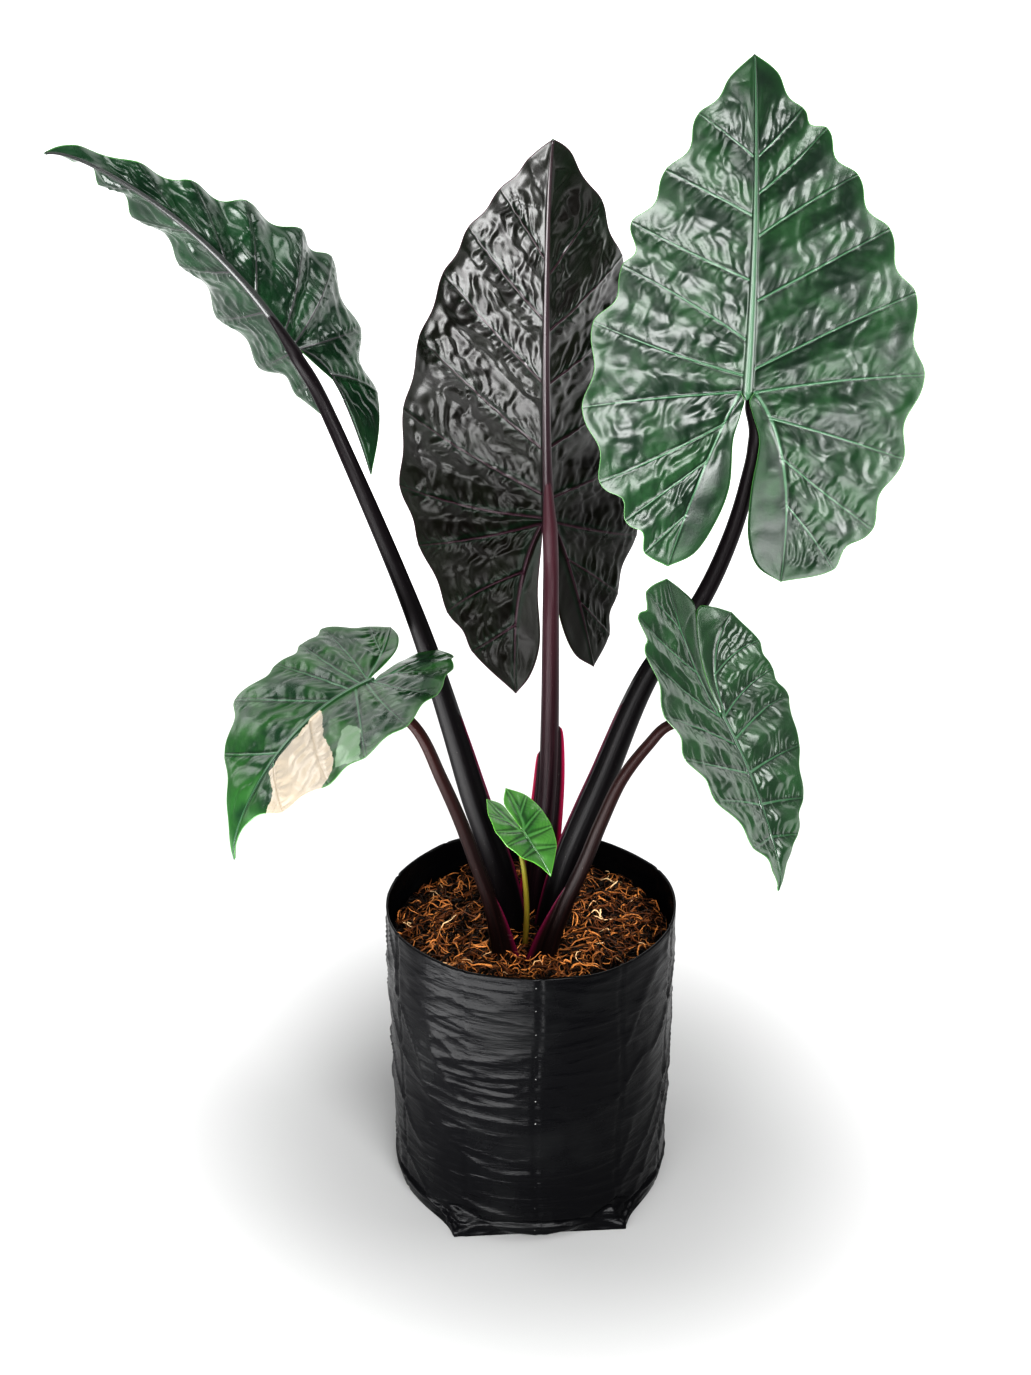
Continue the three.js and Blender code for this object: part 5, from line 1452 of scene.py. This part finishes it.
class PLANT_OT_stage(bpy.types.Operator):
    """Makes the floor, the lights and the camera"""
    bl_idname = "plant.stage"
    bl_label = "Stage"

    def execute(self, context):
        scene, settings = context.scene, context.scene.plant_stage
        camera = bpy.data.objects.new("Camera", bpy.data.cameras.new("Camera"))
        camera.location = settings.camera_place
        camera.rotation_euler = (settings.camera_tilt, 0, 0)
        camera.data.lens = settings.lens
        scene.collection.objects.link(camera)
        scene.camera = camera
        scene.view_settings.view_transform = "Standard"
        scene.view_settings.look = "High Contrast"

        material, tree = new_material("Pale floor")
        grain = cloud(tree, 3, object_place(tree), 2)
        base = tinted(tree, calc(tree, "MULTIPLY", grain, 0.04), settings.floor_colour, FLOOR_GRAIN)
        forward = node(tree, "ShaderNodeSeparateXYZ", {0: object_place(tree)}).outputs["Y"]
        seen = node(tree, "ShaderNodeLightPath").outputs["Is Camera Ray"]
        front = calc(tree, "MULTIPLY", band(tree, forward, -0.25, -0.6), calc(tree, "SUBTRACT", 1.0, seen))
        base = tinted(tree, front, base, FLOOR_FRONT)
        # painted shadow: the floor's glow is nil close to the bag and rises with distance from it, laying a soft
        # shadow ring round the bag; the farther rise washes out the shadows that the lamps cast behind it
        away = node(tree, "ShaderNodeVectorMath", {0: object_place(tree)}, operation="LENGTH").outputs["Value"]
        near = band(tree, away, 0.11, 0.39, 0, settings.floor_glow)
        glow = calc(tree, "ADD", near, band(tree, away, 0.5, 1.6, 0, 0.6))
        glow = calc(tree, "MULTIPLY", glow, calc(tree, "SUBTRACT", 1.0, front))
        glow = node(tree, "ShaderNodeCombineColor", {0: glow, 1: glow, 2: glow}).outputs[0]
        shaded(tree, {"Base Color": base, "Roughness": 0.9, "Emission Color": glow, "Emission Strength": 1.0})
        turn = np.linspace(0, np.pi / 2, 25)
        depth = np.concatenate([[-FLOOR_REACH], SWEEP_START + SWEEP_RADIUS * np.sin(turn),
                                [SWEEP_START + SWEEP_RADIUS]])
        rise = np.concatenate([[0.0], SWEEP_RADIUS * (1 - np.cos(turn)), [BACKDROP_TOP]])
        sweep = [[(x, y, z) for x in (-FLOOR_REACH, FLOOR_REACH)] for y, z in zip(depth, rise)]
        floor = make_object("floor", np.array(sweep).reshape(-1, 3), grid_faces(len(depth), 2).tolist())
        floor.data.materials.append(material)

        world = bpy.data.worlds.new("Surround")
        world.use_nodes = True
        tree = world.node_tree
        seen = node(tree, "ShaderNodeLightPath").outputs["Is Camera Ray"]
        strength = calc(tree, "MULTIPLY", seen, BACKDROP_GLOW - settings.surround)
        strength = calc(tree, "ADD", strength, settings.surround)
        tree.nodes["Background"].inputs[0].default_value = (1, 1, 1, 1)
        tree.links.new(strength, tree.nodes["Background"].inputs[1])
        scene.world = world
        # Name, place, target, width and power
        lights = (
            ("left key", (-0.85, -1.5, 1.35), (0.05, 0, 0.5), 1.0, settings.left_power),
            ("right key", (0.5, -1.75, 1.3), (0.05, 0, 0.5), 1.25, settings.right_power),
            ("low", (-0.4, -1.0, 0.22), (0, 0.03, 0.5), 0.7, settings.low_power),
            ("under", (-0.25, -0.31, 0.05), (0, -0.02, 0.68), 0.56, settings.under_power),
            ("right top", (1.35, -0.05, 1.6), (0.1, 0, 0.35), 0.9, settings.top_power),
            ("left top", (-1.35, 0.6, 1.5), (-0.1, 0, 0.35), 0.9, 0.6 * settings.top_power),
        )
        for name, place, target, width, power in lights:
            light = bpy.data.lights.new(name, "AREA")
            light.shape = "DISK"
            light.size = width
            light.energy = power
            lamp = bpy.data.objects.new(name, light)
            lamp.location = place
            lamp.visible_camera = False
            way = Vector(target) - Vector(place)
            lamp.rotation_euler = way.to_track_quat("-Z", "Y").to_euler()
            scene.collection.objects.link(lamp)
        return {"FINISHED"}


class PLANT_OT_leaves(bpy.types.Operator):
    """Makes the six leaf blades"""
    bl_idname = "plant.leaves"
    bl_label = "Leaves"

    def execute(self, context):
        settings = context.scene.plant_leaves
        group = leaf_pattern_group()
        deep, fresh = settings.deep_green, settings.fresh_green
        vein, margin = settings.vein_green, settings.margin_green
        upper = leaf_material("Leaf upper face", group, deep, fresh, vein, margin, 0.27, shine=0.6)
        low_upper = leaf_material("Low leaf upper face", group, (0.0055, 0.025, 0.0085), (0.011, 0.05, 0.0145),
                                  vein, margin, 0.14, shine=0.8)
        mixed = leaf_material("Variegated upper face", group, (0.006, 0.027, 0.011), (0.018, 0.075, 0.016),
                              vein, margin, 0.2, patches=True)
        young = leaf_material("Young upper face", group, (0.027, 0.098, 0.023), (0.062, 0.17, 0.038),
                              (0.09, 0.22, 0.08), (0.09, 0.26, 0.04), 0.12, shine=0.8)
        green_under = leaf_material("Green underside", group, (0.0035, 0.0165, 0.0072), (0.008, 0.037, 0.0135),
                                    (0.03, 0.028, 0.03), margin, 0.13, 1.3)
        dark_under = leaf_material("Dark underside", group, settings.dark_under, (0.0036, 0.0045, 0.002),
                                   (0.02, 0.007, 0.012), (0.035, 0.01, 0.02), 0.22, 1.4, shine=0.1, coated=True)
        plain_under = leaf_material("Pale underside", group, (0.05, 0.14, 0.05), (0.07, 0.18, 0.06),
                                    (0.14, 0.26, 0.12), margin, 0.35, 1.2)
        finishes = {
            "right_high": (upper, plain_under), "middle": (upper, dark_under), "left_high": (upper, green_under),
            "left_low": (mixed, plain_under), "right_low": (low_upper, plain_under), "small": (young, plain_under),
        }
        for number, name in enumerate(LEAVES):
            piece = make_leaf(name, settings, 100 + 40 * number)
            finish_piece(piece, finishes[name], [f"leaf_{name}"])
        return {"FINISHED"}


class PLANT_OT_stalks(bpy.types.Operator):
    """Makes the six petioles with their sheaths"""
    bl_idname = "plant.stalks"
    bl_label = "Petioles"

    def execute(self, context):
        settings = context.scene.plant_stalks
        group = stalk_pattern_group()
        finishes = {
            "dark_stalk": stalk_material("Black stalk", group, settings.black, (0.006, 0.004, 0.005),
                                         settings.magenta, 0.36),
            "purple_stalk": stalk_material("Purple stalk", group, settings.purple, (0.036, 0.0135, 0.018),
                                           settings.vivid, 0.34),
            "brown_stalk": stalk_material("Brown stalk", group, settings.brown, (0.02, 0.006, 0.0055),
                                          settings.magenta, 0.36),
            "olive_stalk": stalk_material("Olive stalk", group, settings.olive, (0.1, 0.1, 0.015),
                                          settings.magenta, 0.38),
        }
        for name, data in PETIOLES.items():
            piece = make_petiole(name)
            finish_piece(piece, [finishes[data["slot"]]], [f"petiole_{name}"])
        return {"FINISHED"}


class PLANT_OT_bag(bpy.types.Operator):
    """Makes the film bag"""
    bl_idname = "plant.bag"
    bl_label = "Bag"

    def execute(self, context):
        settings = context.scene.plant_bag
        finish_piece(make_bag(settings), [film_material(settings)], ["grow_bag"])
        return {"FINISHED"}


class PLANT_OT_soil(bpy.types.Operator):
    """Makes the coir and its fibres, and gives the buried corm its skin"""
    bl_idname = "plant.soil"
    bl_label = "Coir"

    def execute(self, context):
        settings = context.scene.plant_soil
        finish_piece(make_soil(), [coir_material("Coir bed", settings, False)], ["soil"])
        strands = coir_material("Coir strands", settings, True)
        for name, seed, lowest, highest in FIBRE_LAYERS:
            finish_piece(make_fibres(name, settings, seed, lowest, highest), [strands], [])
        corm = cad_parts["corm"]
        corm.data.materials.clear()
        corm.data.materials.append(corm_material())
        return {"FINISHED"}


class PLANT_PT_panel(bpy.types.Panel):
    """Lists the operators and their settings"""
    bl_idname = "PLANT_PT_panel"
    bl_label = "Potted plant"
    bl_space_type = "VIEW_3D"
    bl_region_type = "UI"
    bl_category = "Plant"

    def draw(self, context):
        rows = (
            ("plant.stage", context.scene.plant_stage), ("plant.leaves", context.scene.plant_leaves),
            ("plant.stalks", context.scene.plant_stalks), ("plant.bag", context.scene.plant_bag),
            ("plant.soil", context.scene.plant_soil),
        )
        for operator, settings in rows:
            box = self.layout.box()
            box.operator(operator)
            for name in settings.__annotations__:
                box.prop(settings, name)


SETTINGS = {
    "plant_leaves": PlantLeafSettings, "plant_stalks": PlantStalkSettings, "plant_bag": PlantBagSettings,
    "plant_soil": PlantSoilSettings, "plant_stage": PlantStageSettings,
}
OPERATORS = (PLANT_OT_stage, PLANT_OT_leaves, PLANT_OT_stalks, PLANT_OT_bag, PLANT_OT_soil)


def register():
    for name, group in SETTINGS.items():
        bpy.utils.register_class(group)
        setattr(bpy.types.Scene, name, PointerProperty(type=group))
    for made in (*OPERATORS, PLANT_PT_panel):
        bpy.utils.register_class(made)


def unregister():
    for made in (PLANT_PT_panel, *reversed(OPERATORS)):
        bpy.utils.unregister_class(made)
    for name, group in SETTINGS.items():
        delattr(bpy.types.Scene, name)
        bpy.utils.unregister_class(group)


def main():
    register()
    bpy.ops.plant.stage()
    bpy.ops.plant.leaves()
    bpy.ops.plant.stalks()
    bpy.ops.plant.bag()
    bpy.ops.plant.soil()


if __name__ == "__main__":
    main()
